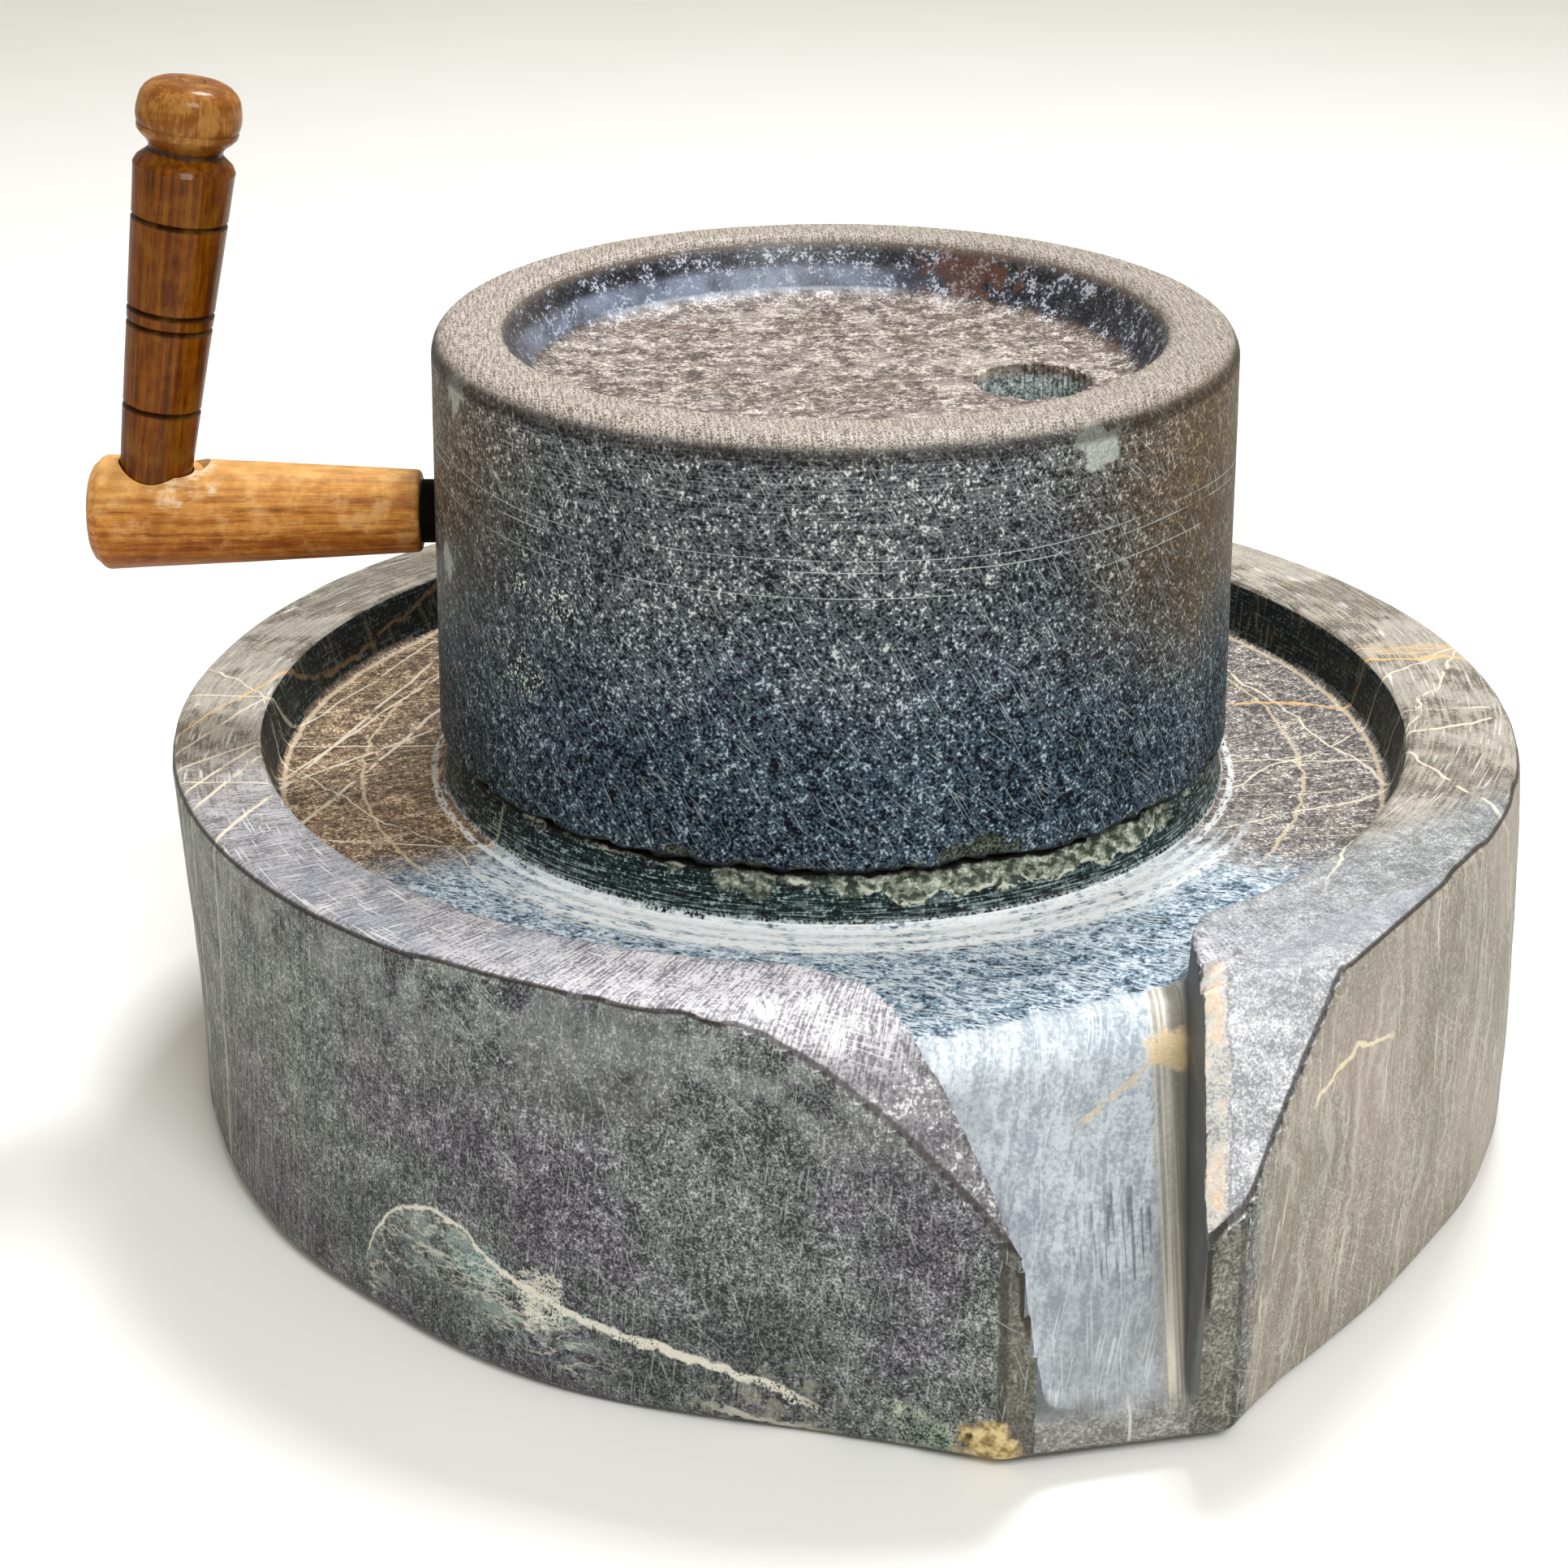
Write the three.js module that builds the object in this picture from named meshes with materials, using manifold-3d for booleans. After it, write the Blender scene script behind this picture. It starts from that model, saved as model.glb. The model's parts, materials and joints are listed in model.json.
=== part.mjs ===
// Rotary quern: a hand mill of two dark carved stones. The lower stone is a round block with a collecting trough,
// a raised grinding bed and a pouring spout; the runner stone turns on the bed and carries a wooden crank.
// Units are millimetres, +Z is up. The origin is the mill's axis on the plane the lower stone rests on, and the
// spout points towards -Y.
import * as THREE from 'three';
import { mergeVertices } from 'three/addons/utils/BufferGeometryUtils.js';
import Module from 'manifold-3d';

const wasm = await Module();
wasm.setup();

// Lower stone: round block
const BODY_RADIUS = 171.5;
const BODY_CENTRE = new THREE.Vector2(2.7, -0.9); // the hand-cut block isn't quite centred on the mill's axis
const RIM_TOP = 99;
const RIM_EDGE_ROUND = 3;
const FOOT_ROUND = 5;
// How far the wall's foot stands out from the plan at the rim, by bearing from -Y towards +X in degrees.
const WALL_LEAN = [
  [-180, -1], [-90, -2.5], [-62, 0], [-34, 7], [-12, 1.5], [12, 1], [28, 5], [60, 3.5], [110, 1], [180, -1],
];
const LEAN_RISE = 1.25; // the lean is full a little above the foot

// Lower stone: trough and grinding bed
const BED_TOP = 97;
const BED_RADIUS = 98.5;
const BED_FOOT_RADIUS = 100.5;
const TROUGH_FLOOR = 84;
const TROUGH_FLOOR_RADIUS = 142;
const RIM_INNER_RADIUS = 147;
const RIM_INNER_ROUND = 2;

// Lower stone: spout
const NOSE_HALF_WIDTH = 25.6;
const NOSE_REACH = 197; // from the mill's axis to the middle of the nose's front face
const NOSE_SKEW = THREE.MathUtils.degToRad(6.5); // the front face isn't square to the spout
const NOSE_UNDERSIDE = 1.8; // the nose's lower edge stays just clear of the resting plane
const UNDERCUT_START = 176;
const ARM_TIP_DROP = 44.7; // how far the arms' top faces fall from the rim to the nose
const LEFT_ARM = { side: -1, slopeStart: 150, slopeEnd: 194.5, bend: 1.78 };
const RIGHT_ARM = { side: 1, slopeStart: 171, slopeEnd: 200, bend: 1.15 };
// Each side of the chute: half-width of the floor at the nose, how much it widens for each millimetre back from
// there, and how much the wall opens for each millimetre up.
const CHUTE_LEFT = { halfWidth: 17, flare: 0.52, lean: 0.14 };
const CHUTE_RIGHT = { halfWidth: 16, flare: 0.37, lean: 0.05 };
const CHUTE_LIP = 155; // where the trough's floor turns down into the chute
const CHUTE_LIP_ROUND = 6;
const CHUTE_END_FLOOR = 14; // height of the chute's floor at the nose's front face
const CHUTE_CORNER = 6;

// Runner stone
const RUNNER_RADIUS = 99; // at the rim
const RUNNER_FOOT_RADIUS = 101;
const RUNNER_HEIGHT = 104;
const RUNNER_EDGE_ROUND = 6.5;
const RUNNER_FOOT_CHAMFER = 1.2;
const DISH_LIP_RADIUS = 81;
const DISH_LIP_ROUND = 4;
const DISH_FLOOR_RADIUS = 69;
const DISH_DEPTH = 15.5;
const FEED_HOLE_RADIUS = 14;
const FEED_HOLE_OFFSET = 49;
const FEED_HOLE_BEARING = THREE.MathUtils.degToRad(176.3); // from the crank arm, round the axis

// Crank, in the runner's own frame, where the arm runs along +X
const CRANK_BEARING = THREE.MathUtils.degToRad(163.1);
const ARM_HEIGHT = 54; // arm's centre line above the runner's underside
const ARM_START = 103.6;
const ARM_END = 186.6;
const ARM_START_RADIUS = 10.4;
const ARM_END_RADIUS = 14.4;
const SHANK_RADIUS = 8;
const SHANK_START = 78;
const GRIP_FOOT = 171.5; // where the grip's centre line crosses the arm's
const GRIP_LEAN = THREE.MathUtils.degToRad(9.7); // towards the runner
const GRIP_TENON_END = 2.5; // distances along the grip are counted from the arm's centre line
const GRIP_COLLAR = 92;
const GRIP_TOP = 109.6;
const GRIP_FOOT_RADIUS = 8.9;
const GRIP_HEAD_RADIUS = 12.3;
const GRIP_GROOVES = [28.4, 49.6, 53.4, 76];
const GROOVE_DEPTH = 0.7;
const GROOVE_HALF_WIDTH = 0.6;
const GRIP_SEAT = 12.4;
const GRIP_SEAT_RADIUS = 11.6;

const CLEARANCE = 0.3; // between touching pieces
const ROUND_SEGMENTS = 72;
const PLAN_STEPS = 58; // round the lower stone's plan, from flank to flank
const FLANK_STEPS = 5;
const CLEAR_ABOVE = 140; // height that every cutter reaches, well above the lower stone

const RUNNER_BOTTOM = BED_TOP + CLEARANCE;

// A closed geometry as a solid for joining and cutting, with its faces turned outwards.
function solid(geometry) {
  const bare = geometry.clone();
  bare.deleteAttribute('normal');
  bare.deleteAttribute('uv');
  const merged = mergeVertices(bare, 1e-4);
  const positions = merged.attributes.position.array;
  const corners = Array.from(merged.index.array);
  const triangles = [];
  const a = new THREE.Vector3();
  const b = new THREE.Vector3();
  const c = new THREE.Vector3();
  let volume = 0;
  for (let i = 0; i < corners.length; i += 3) {
    const [p, q, r] = corners.slice(i, i + 3);
    if (p === q || q === r || r === p) continue;
    triangles.push([p, q, r]);
    a.fromArray(positions, 3 * p);
    b.fromArray(positions, 3 * q);
    c.fromArray(positions, 3 * r);
    volume += a.dot(b.cross(c));
  }
  const outward = volume > 0 ? triangles : triangles.map(([p, q, r]) => [p, r, q]);
  return new wasm.Manifold(new wasm.Mesh({
    numProp: 3,
    vertProperties: new Float32Array(positions),
    triVerts: new Uint32Array(outward.flat()),
  }));
}

// The finished piece as a named mesh with its own material.
function piece(name, shape, look) {
  const cut = shape.getMesh();
  const geometry = new THREE.BufferGeometry();
  geometry.setAttribute('position', new THREE.BufferAttribute(new Float32Array(cut.vertProperties), 3));
  geometry.setIndex(new THREE.BufferAttribute(new Uint32Array(cut.triVerts), 1));
  geometry.computeVertexNormals();
  const mesh = new THREE.Mesh(geometry, new THREE.MeshStandardMaterial({ flatShading: true, ...look }));
  mesh.name = name;
  return mesh;
}

// A quarter round between two directions, as points about a centre.
function arc(centerX, centerY, radius, fromDegrees, toDegrees, steps) {
  return Array.from({ length: steps + 1 }, (_, i) => {
    const angle = THREE.MathUtils.degToRad(THREE.MathUtils.lerp(fromDegrees, toDegrees, i / steps));
    return new THREE.Vector2(centerX + radius * Math.cos(angle), centerY + radius * Math.sin(angle));
  });
}

// A turned solid: the profile holds (radius, height) points and starts and ends on the axis.
function turned(profile, segments = ROUND_SEGMENTS) {
  const points = profile.map((p) => (p.isVector2 ? p : new THREE.Vector2(p[0], p[1])));
  return new THREE.LatheGeometry(points, segments).rotateX(Math.PI / 2);
}

// A skin through closed rings of equally many points, with a flat fan over each end.
function loft(rings) {
  const count = rings[0].length;
  const positions = rings.flat().flatMap((p) => [p.x, p.y, p.z]);
  const faces = [];
  for (let ring = 0; ring + 1 < rings.length; ring += 1) {
    for (let i = 0; i < count; i += 1) {
      const next = (i + 1) % count;
      const low = ring * count;
      const high = low + count;
      faces.push(low + i, low + next, high + next, low + i, high + next, high + i);
    }
  }
  const ends = [{ ring: rings[0], start: 0 }, { ring: rings.at(-1), start: (rings.length - 1) * count }];
  ends.forEach(({ ring, start }, end) => {
    const middle = ring.reduce((sum, p) => sum.add(p), new THREE.Vector3()).divideScalar(count);
    const centre = positions.length / 3;
    positions.push(middle.x, middle.y, middle.z);
    for (let i = 0; i < count; i += 1) {
      const next = (i + 1) % count;
      if (end === 0) faces.push(centre, start + next, start + i);
      else faces.push(centre, start + i, start + next);
    }
  });
  const geometry = new THREE.BufferGeometry();
  geometry.setAttribute('position', new THREE.Float32BufferAttribute(positions, 3));
  geometry.setIndex(faces);
  return geometry;
}

// The wall's lean at a bearing, in millimetres at the foot, eased between the listed bearings.
function wallLean(bearing) {
  const degrees = THREE.MathUtils.radToDeg(bearing);
  const next = Math.max(WALL_LEAN.findIndex(([listed]) => listed >= degrees), 1);
  const [fromBearing, fromLean] = WALL_LEAN[next - 1];
  const [toBearing, toLean] = WALL_LEAN[next];
  return THREE.MathUtils.lerp(fromLean, toLean, THREE.MathUtils.smoothstep(degrees, fromBearing, toBearing));
}

// Plan of the lower stone at the rim: a circle, two flanks tangent to it, and the skewed nose between them.
function rimPlan() {
  const corner = (side) => new THREE.Vector2(side * NOSE_HALF_WIDTH, -NOSE_REACH)
    .sub(BODY_CENTRE)
    .add(new THREE.Vector2(0, -side * NOSE_HALF_WIDTH * Math.tan(NOSE_SKEW)));
  // Bearing from -Y towards +X of the point where the flank from a corner touches the circle.
  const tangent = (point) => Math.atan2(Math.abs(point.x), -point.y) + Math.acos(BODY_RADIUS / point.length());
  const onCircle = (bearing) => new THREE.Vector2(Math.sin(bearing), -Math.cos(bearing)).multiplyScalar(BODY_RADIUS);
  const right = corner(1);
  const left = corner(-1);
  const start = tangent(right);
  const end = 2 * Math.PI - tangent(left);
  const round = Array.from({ length: PLAN_STEPS + 1 }, (_, i) => onCircle(start + (end - start) * i / PLAN_STEPS));
  const flank = (from, to) => Array.from({ length: FLANK_STEPS }, (_, i) => from.clone().lerp(to, i / FLANK_STEPS));
  return [...flank(right, round[0]), ...round.slice(0, -1), ...flank(round.at(-1), left), left];
}

// The block: its wall swells from the rim towards a fuller foot, with both edges rounded.
function baseBody() {
  const wallTop = RIM_TOP - RIM_EDGE_ROUND;
  const section = [
    ...arc(FOOT_ROUND, FOOT_ROUND, FOOT_ROUND, 270, 180, 3),
    ...[0.25, 0.5, 0.75].map((part) => new THREE.Vector2(0, THREE.MathUtils.lerp(FOOT_ROUND, wallTop, part))),
    ...arc(RIM_EDGE_ROUND, wallTop, RIM_EDGE_ROUND, 180, 90, 3),
  ];
  const plan = rimPlan();
  return solid(loft(section.map(({ x: inset, y: z }) => {
    const swell = Math.sin(Math.min(1, LEAN_RISE * (1 - z / RIM_TOP)) * Math.PI / 2);
    return plan.map((p) => {
      const outset = wallLean(Math.atan2(p.x, -p.y)) * swell - inset;
      const q = p.clone().setLength(p.length() + outset).add(BODY_CENTRE);
      return new THREE.Vector3(q.x, q.y, z);
    });
  })));
}

// Everything that is open above the bed, the trough and the rim's inner edge.
function troughCutter() {
  const wallFoot = TROUGH_FLOOR_RADIUS;
  return solid(turned([
    [0, BED_TOP],
    [BED_RADIUS - 1, BED_TOP],
    [BED_RADIUS, BED_TOP - 1],
    [BED_FOOT_RADIUS - 0.5, TROUGH_FLOOR + 2],
    [BED_FOOT_RADIUS + 1, TROUGH_FLOOR],
    [wallFoot, TROUGH_FLOOR],
    [wallFoot + 1.5, TROUGH_FLOOR + 1.5],
    [RIM_INNER_RADIUS - 1, RIM_TOP - RIM_INNER_ROUND],
    ...arc(RIM_INNER_RADIUS - 1 + RIM_INNER_ROUND, RIM_TOP - RIM_INNER_ROUND, RIM_INNER_ROUND, 180, 90, 2).slice(1),
    [RIM_INNER_RADIUS + 1.5, CLEAR_ABOVE],
    [0, CLEAR_ABOVE],
  ]));
}

// Height of an arm's top face at a distance from the mill's axis, measured along the spout.
function armTop(arm, distance) {
  const run = THREE.MathUtils.clamp((distance - arm.slopeStart) / (arm.slopeEnd - arm.slopeStart), 0, 1);
  return RIM_TOP - ARM_TIP_DROP * run ** arm.bend;
}

// The space over one arm, from the rim's level down to the arm's falling top face.
function armCutter(arm) {
  const width = 90;
  const steps = 12;
  const beyond = NOSE_REACH + 35;
  const outline = [new THREE.Vector2(arm.slopeStart, CLEAR_ABOVE)];
  for (let i = 0; i <= steps; i += 1) {
    const distance = THREE.MathUtils.lerp(arm.slopeStart, arm.slopeEnd, i / steps);
    outline.push(new THREE.Vector2(distance, armTop(arm, distance)));
  }
  outline.push(new THREE.Vector2(beyond, RIM_TOP - ARM_TIP_DROP));
  outline.push(new THREE.Vector2(beyond, CLEAR_ABOVE));
  const slab = new THREE.ExtrudeGeometry(new THREE.Shape(outline), { depth: width, bevelEnabled: false });
  // From (distance, height, across) to (across, -distance, height).
  slab.applyMatrix4(new THREE.Matrix4().set(0, 0, arm.side, 0, -1, 0, 0, 0, 0, 1, 0, 0, 0, 0, 0, 1));
  return solid(slab);
}

// Height of the chute's floor: level with the trough, rolling over a lip, then straight down to the nose.
function chuteFloor(distance) {
  const slope = (TROUGH_FLOOR - CHUTE_END_FLOOR) / (NOSE_REACH - CHUTE_LIP);
  const past = distance - CHUTE_LIP;
  if (past <= -CHUTE_LIP_ROUND) return TROUGH_FLOOR;
  if (past < CHUTE_LIP_ROUND) return TROUGH_FLOOR - slope * (past + CHUTE_LIP_ROUND) ** 2 / (4 * CHUTE_LIP_ROUND);
  return TROUGH_FLOOR - slope * past;
}

// The funnel from the trough to the nose, as upright sections across the spout.
function chuteCutter() {
  const distances = [128, 149, 152, 155, 158, 161, 170, 180, 190, NOSE_REACH, 210];
  return solid(loft(distances.map((distance) => {
    const back = Math.max(NOSE_REACH - distance, 0);
    const mouth = Math.max(150 - distance, 0) * 0.35;
    const reach = (side) => side.halfWidth + side.flare * back + mouth;
    const floor = chuteFloor(distance);
    const opening = (side) => side.lean * (CLEAR_ABOVE - floor - CHUTE_CORNER);
    const left = -reach(CHUTE_LEFT);
    const right = reach(CHUTE_RIGHT);
    const across = [
      ...arc(left + CHUTE_CORNER, floor + CHUTE_CORNER, CHUTE_CORNER, 180, 270, 3),
      ...arc(right - CHUTE_CORNER, floor + CHUTE_CORNER, CHUTE_CORNER, 270, 360, 3),
      new THREE.Vector2(right + opening(CHUTE_RIGHT), CLEAR_ABOVE),
      new THREE.Vector2(left - opening(CHUTE_LEFT), CLEAR_ABOVE),
    ];
    return across.map((p) => new THREE.Vector3(p.x, -distance, p.y));
  })));
}

// The wedge under the nose, which hangs clear of the surface the stone stands on.
function undercutCutter() {
  const slope = NOSE_UNDERSIDE / (NOSE_REACH - UNDERCUT_START);
  const far = NOSE_REACH + 20;
  const outline = new THREE.Shape([
    new THREE.Vector2(UNDERCUT_START, 0),
    new THREE.Vector2(far, slope * (far - UNDERCUT_START)),
    new THREE.Vector2(far, -20),
    new THREE.Vector2(UNDERCUT_START, -20),
  ]);
  const wedge = new THREE.ExtrudeGeometry(outline, { depth: 240, bevelEnabled: false });
  wedge.translate(0, 0, -120);
  wedge.applyMatrix4(new THREE.Matrix4().set(0, 0, 1, 0, -1, 0, 0, 0, 0, 1, 0, 0, 0, 0, 0, 1));
  return solid(wedge);
}

function baseStone() {
  return baseBody()
    .subtract(troughCutter())
    .subtract(armCutter(LEFT_ARM))
    .subtract(armCutter(RIGHT_ARM))
    .subtract(chuteCutter())
    .subtract(undercutCutter());
}

// The runner: a drum with a rounded rim, a shallow hopper dish, an off-centre feed hole and a side socket.
function runnerStone() {
  const dishFloor = RUNNER_HEIGHT - DISH_DEPTH;
  const drum = solid(turned([
    [0, 0],
    [RUNNER_FOOT_RADIUS - RUNNER_FOOT_CHAMFER, 0],
    [RUNNER_FOOT_RADIUS, RUNNER_FOOT_CHAMFER],
    ...arc(RUNNER_RADIUS - RUNNER_EDGE_ROUND, RUNNER_HEIGHT - RUNNER_EDGE_ROUND, RUNNER_EDGE_ROUND, 0, 90, 5),
    ...arc(DISH_LIP_RADIUS + DISH_LIP_ROUND, RUNNER_HEIGHT - DISH_LIP_ROUND, DISH_LIP_ROUND, 90, 160, 4),
    [DISH_FLOOR_RADIUS + 7.5, dishFloor + 3.2],
    [DISH_FLOOR_RADIUS + 4, dishFloor + 0.9],
    [DISH_FLOOR_RADIUS, dishFloor],
    [0, dishFloor],
  ]));
  const hole = turned([[0, -10], [FEED_HOLE_RADIUS, -10], [FEED_HOLE_RADIUS, RUNNER_HEIGHT], [0, RUNNER_HEIGHT]], 32);
  hole.translate(FEED_HOLE_OFFSET * Math.cos(FEED_HOLE_BEARING), FEED_HOLE_OFFSET * Math.sin(FEED_HOLE_BEARING), 0);
  const socketRadius = SHANK_RADIUS + CLEARANCE;
  const socket = alongArm(turned([
    [0, SHANK_START - CLEARANCE],
    [socketRadius, SHANK_START - CLEARANCE],
    [socketRadius, RUNNER_RADIUS + 10],
    [0, RUNNER_RADIUS + 10],
  ], 32));
  return drum.subtract(solid(hole)).subtract(solid(socket));
}

// Lays a turned geometry along the crank arm's centre line.
function alongArm(geometry) {
  return geometry.rotateY(Math.PI / 2).translate(0, 0, ARM_HEIGHT);
}

// Stands a turned geometry on the grip's leaning centre line.
function alongGrip(geometry) {
  return geometry.rotateY(-GRIP_LEAN).translate(GRIP_FOOT, 0, ARM_HEIGHT);
}

function shank() {
  const end = ARM_START - CLEARANCE;
  return solid(alongArm(turned([
    [0, SHANK_START],
    [SHANK_RADIUS - 0.6, SHANK_START],
    [SHANK_RADIUS, SHANK_START + 0.6],
    [SHANK_RADIUS, end],
    [0, end],
  ], 32)));
}

// The wooden arm grows thicker outwards and ends in a slightly domed face; the grip stands in a bored seat.
function crankArm() {
  const bar = solid(alongArm(turned([
    [0, ARM_START],
    [ARM_START_RADIUS - 1.4, ARM_START],
    [ARM_START_RADIUS, ARM_START + 1.4],
    [ARM_END_RADIUS, ARM_END - 5],
    [ARM_END_RADIUS - 0.6, ARM_END - 2.4],
    [ARM_END_RADIUS - 2.6, ARM_END - 0.6],
    [0, ARM_END],
  ], 40)));
  const boreRadius = gripRadius(GRIP_SEAT) + CLEARANCE;
  const bore = alongGrip(turned([
    [0, GRIP_TENON_END - CLEARANCE],
    [boreRadius, GRIP_TENON_END - CLEARANCE],
    [boreRadius, 40],
    [0, 40],
  ], 32));
  const seat = alongGrip(turned([
    [0, GRIP_SEAT],
    [GRIP_SEAT_RADIUS, GRIP_SEAT],
    [GRIP_SEAT_RADIUS + 4, GRIP_SEAT + 8],
    [0, GRIP_SEAT + 8],
  ], 32));
  return bar.subtract(solid(bore)).subtract(solid(seat));
}

// Radius of the grip's straight taper at a distance along it.
function gripRadius(along) {
  return THREE.MathUtils.mapLinear(along, GRIP_SEAT, GRIP_COLLAR, GRIP_FOOT_RADIUS, GRIP_HEAD_RADIUS);
}

// The grip: a tapered shaft with turned grooves, a chamfered collar, a narrow neck and a flattened knob.
function grip() {
  const grooves = GRIP_GROOVES.flatMap((along) => [
    [gripRadius(along), along - GROOVE_HALF_WIDTH],
    [gripRadius(along) - GROOVE_DEPTH, along],
    [gripRadius(along), along + GROOVE_HALF_WIDTH],
  ]);
  const knobMiddle = GRIP_TOP - 8.4;
  return solid(alongGrip(turned([
    [0, GRIP_TENON_END],
    [GRIP_FOOT_RADIUS, GRIP_TENON_END],
    [GRIP_FOOT_RADIUS, GRIP_SEAT],
    ...grooves,
    [GRIP_HEAD_RADIUS, GRIP_COLLAR - 3.4],
    [GRIP_HEAD_RADIUS - 3.2, GRIP_COLLAR],
    [GRIP_HEAD_RADIUS - 3.4, GRIP_COLLAR + 1.4],
    [GRIP_HEAD_RADIUS - 0.9, GRIP_COLLAR + 4.2],
    [GRIP_HEAD_RADIUS - 0.2, GRIP_COLLAR + 5.2],
    [GRIP_HEAD_RADIUS - 0.3, GRIP_COLLAR + 6.2],
    [GRIP_HEAD_RADIUS + 0.3, knobMiddle],
    [GRIP_HEAD_RADIUS, knobMiddle + 2.8],
    [GRIP_HEAD_RADIUS - 1.2, knobMiddle + 5.6],
    [GRIP_HEAD_RADIUS - 4.2, knobMiddle + 7.6],
    [3, GRIP_TOP],
    [0, GRIP_TOP],
  ], 40)));
}

const STONE = { color: 0x4b4e55, roughness: 0.75, metalness: 0 };
const quern = new THREE.Group();
quern.add(piece('lower_stone', baseStone(), { ...STONE, color: 0x5a5c63 }));

const runner = new THREE.Group();
runner.position.z = RUNNER_BOTTOM;
runner.rotation.z = CRANK_BEARING;
runner.add(
  piece('runner_stone', runnerStone(), STONE),
  piece('arm_shank', shank(), { color: 0x121214, roughness: 0.6, metalness: 0 }),
  piece('crank_arm', crankArm(), { color: 0xa8733c, roughness: 0.5, metalness: 0 }),
  piece('grip', grip(), { color: 0x7a431d, roughness: 0.35, metalness: 0 }),
);
quern.add(runner);

export default quern;
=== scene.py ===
# %% [markdown]
# # A rotary quern
# A rotary quern is a hand mill: a heavy lower stone with a raised bed and a collecting trough, and a runner
# stone that turns on the bed, pushed round by a wooden crank. The measured model of the mill is loaded
# first. It is the fixed frame: every piece made below is placed by it and none of its nodes is moved.

# %% Load the frame
import json
import math
import random
from functools import reduce
from operator import add

import bmesh
import bpy
from mathutils import Matrix, Vector, noise

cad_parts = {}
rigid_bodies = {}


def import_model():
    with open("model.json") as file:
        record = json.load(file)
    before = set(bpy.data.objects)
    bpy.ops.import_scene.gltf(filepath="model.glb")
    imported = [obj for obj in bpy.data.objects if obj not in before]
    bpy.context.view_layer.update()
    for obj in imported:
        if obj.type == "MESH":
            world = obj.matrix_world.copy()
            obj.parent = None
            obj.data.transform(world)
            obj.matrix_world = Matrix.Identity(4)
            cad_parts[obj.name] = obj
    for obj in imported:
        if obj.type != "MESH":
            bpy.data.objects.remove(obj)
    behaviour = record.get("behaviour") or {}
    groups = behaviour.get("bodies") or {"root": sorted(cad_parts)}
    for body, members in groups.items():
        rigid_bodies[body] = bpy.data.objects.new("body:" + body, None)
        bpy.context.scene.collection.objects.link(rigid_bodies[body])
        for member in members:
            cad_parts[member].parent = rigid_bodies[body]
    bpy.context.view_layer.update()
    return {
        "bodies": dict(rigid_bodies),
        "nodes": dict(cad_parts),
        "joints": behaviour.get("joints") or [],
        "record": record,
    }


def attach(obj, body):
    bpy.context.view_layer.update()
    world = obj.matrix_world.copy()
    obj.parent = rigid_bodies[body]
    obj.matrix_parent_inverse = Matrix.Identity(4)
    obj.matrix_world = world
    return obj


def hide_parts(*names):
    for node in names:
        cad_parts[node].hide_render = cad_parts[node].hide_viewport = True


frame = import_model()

MM = 0.001  # the frame is in metres, and a stone carver thinks in millimetres

# %% [markdown]
# ## Turned shapes
# Both stones were dressed round one axis, and the crank's wooden parts came off a lathe. In Blender such a
# shape starts as an open line of vertices, the profile, which the spin operator sweeps round the axis. Long
# stretches of the profile are subdivided first, because the worn relief that comes later needs vertices to
# move. A full spin lays its last copy on its first one, so the doubles are merged and the normals are
# turned outwards.

# %% Spin a profile
def arc(across, up, radius, start, end, steps=5):
    """Points of a rounded corner, from one direction in degrees to another."""
    turns = [math.radians(start + (end - start) * i / steps) for i in range(steps + 1)]
    return [(across + radius * math.cos(t), up + radius * math.sin(t)) for t in turns]


def turned(profile, steps, spacing):
    """A closed mesh spun from (radius, height) points in mm. No profile edge is longer than its spacing."""
    bm = bmesh.new()
    points = [bm.verts.new((r * MM, 0, z * MM)) for r, z in profile]
    for pair in zip(points, points[1:]):
        bm.edges.new(pair)
    while True:
        long = [
            edge for edge in bm.edges
            if edge.calc_length() > 1.01 * MM * spacing((edge.verts[0].co + edge.verts[1].co) / 2 / MM)
        ]
        if not long:
            break
        bmesh.ops.subdivide_edges(bm, edges=long, cuts=1)
    bmesh.ops.spin(
        bm, geom=bm.verts[:] + bm.edges[:], cent=(0, 0, 0), axis=(0, 0, 1),
        angle=math.tau, steps=steps, use_merge=True,
    )
    bmesh.ops.remove_doubles(bm, verts=bm.verts, dist=0.001 * MM)
    bmesh.ops.recalc_face_normals(bm, faces=bm.faces)
    return bm


def report(name, bm):
    """Prints a mesh's triangles, and how many of its edges are open."""
    triangles = sum(len(face.verts) - 2 for face in bm.faces)
    print(f"{name}: {triangles} triangles, {sum(not e.is_manifold for e in bm.edges)} open edges")


# %% [markdown]
# ## The lower stone's plan
# The block is round, but not quite centred on the mill's axis, and two straight flanks lead from the round
# to the nose of the spout. A spun disc is made first, and each of its columns is then pushed out until it
# reaches this plan. That keeps the neat rings of the trough and still gives the flanks their true line.

# %% The plan as a distance from the axis
BODY_RADIUS = 171.5
BODY_CENTRE = Vector((2.7, -0.9))
NOSE_HALF_WIDTH = 25.6
NOSE_REACH = 197.0
NOSE_SKEW = math.tan(math.radians(6.5))  # the nose's face isn't square to the spout
RIM_TOP = 99.0


def bearing_of(x, y):
    """Angle from -Y, where the spout points, towards +X."""
    return math.atan2(x, -y)


def blend_up(value, low, high):
    """0 below low, 1 above high, eased in between."""
    t = min(max((value - low) / (high - low), 0), 1)
    return t * t * (3 - 2 * t)


def nose_corner_at(side):
    across = side * NOSE_HALF_WIDTH
    return Vector((across, -NOSE_REACH - across * NOSE_SKEW))


corners = {side: nose_corner_at(side) for side in (-1, 1)}


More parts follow.
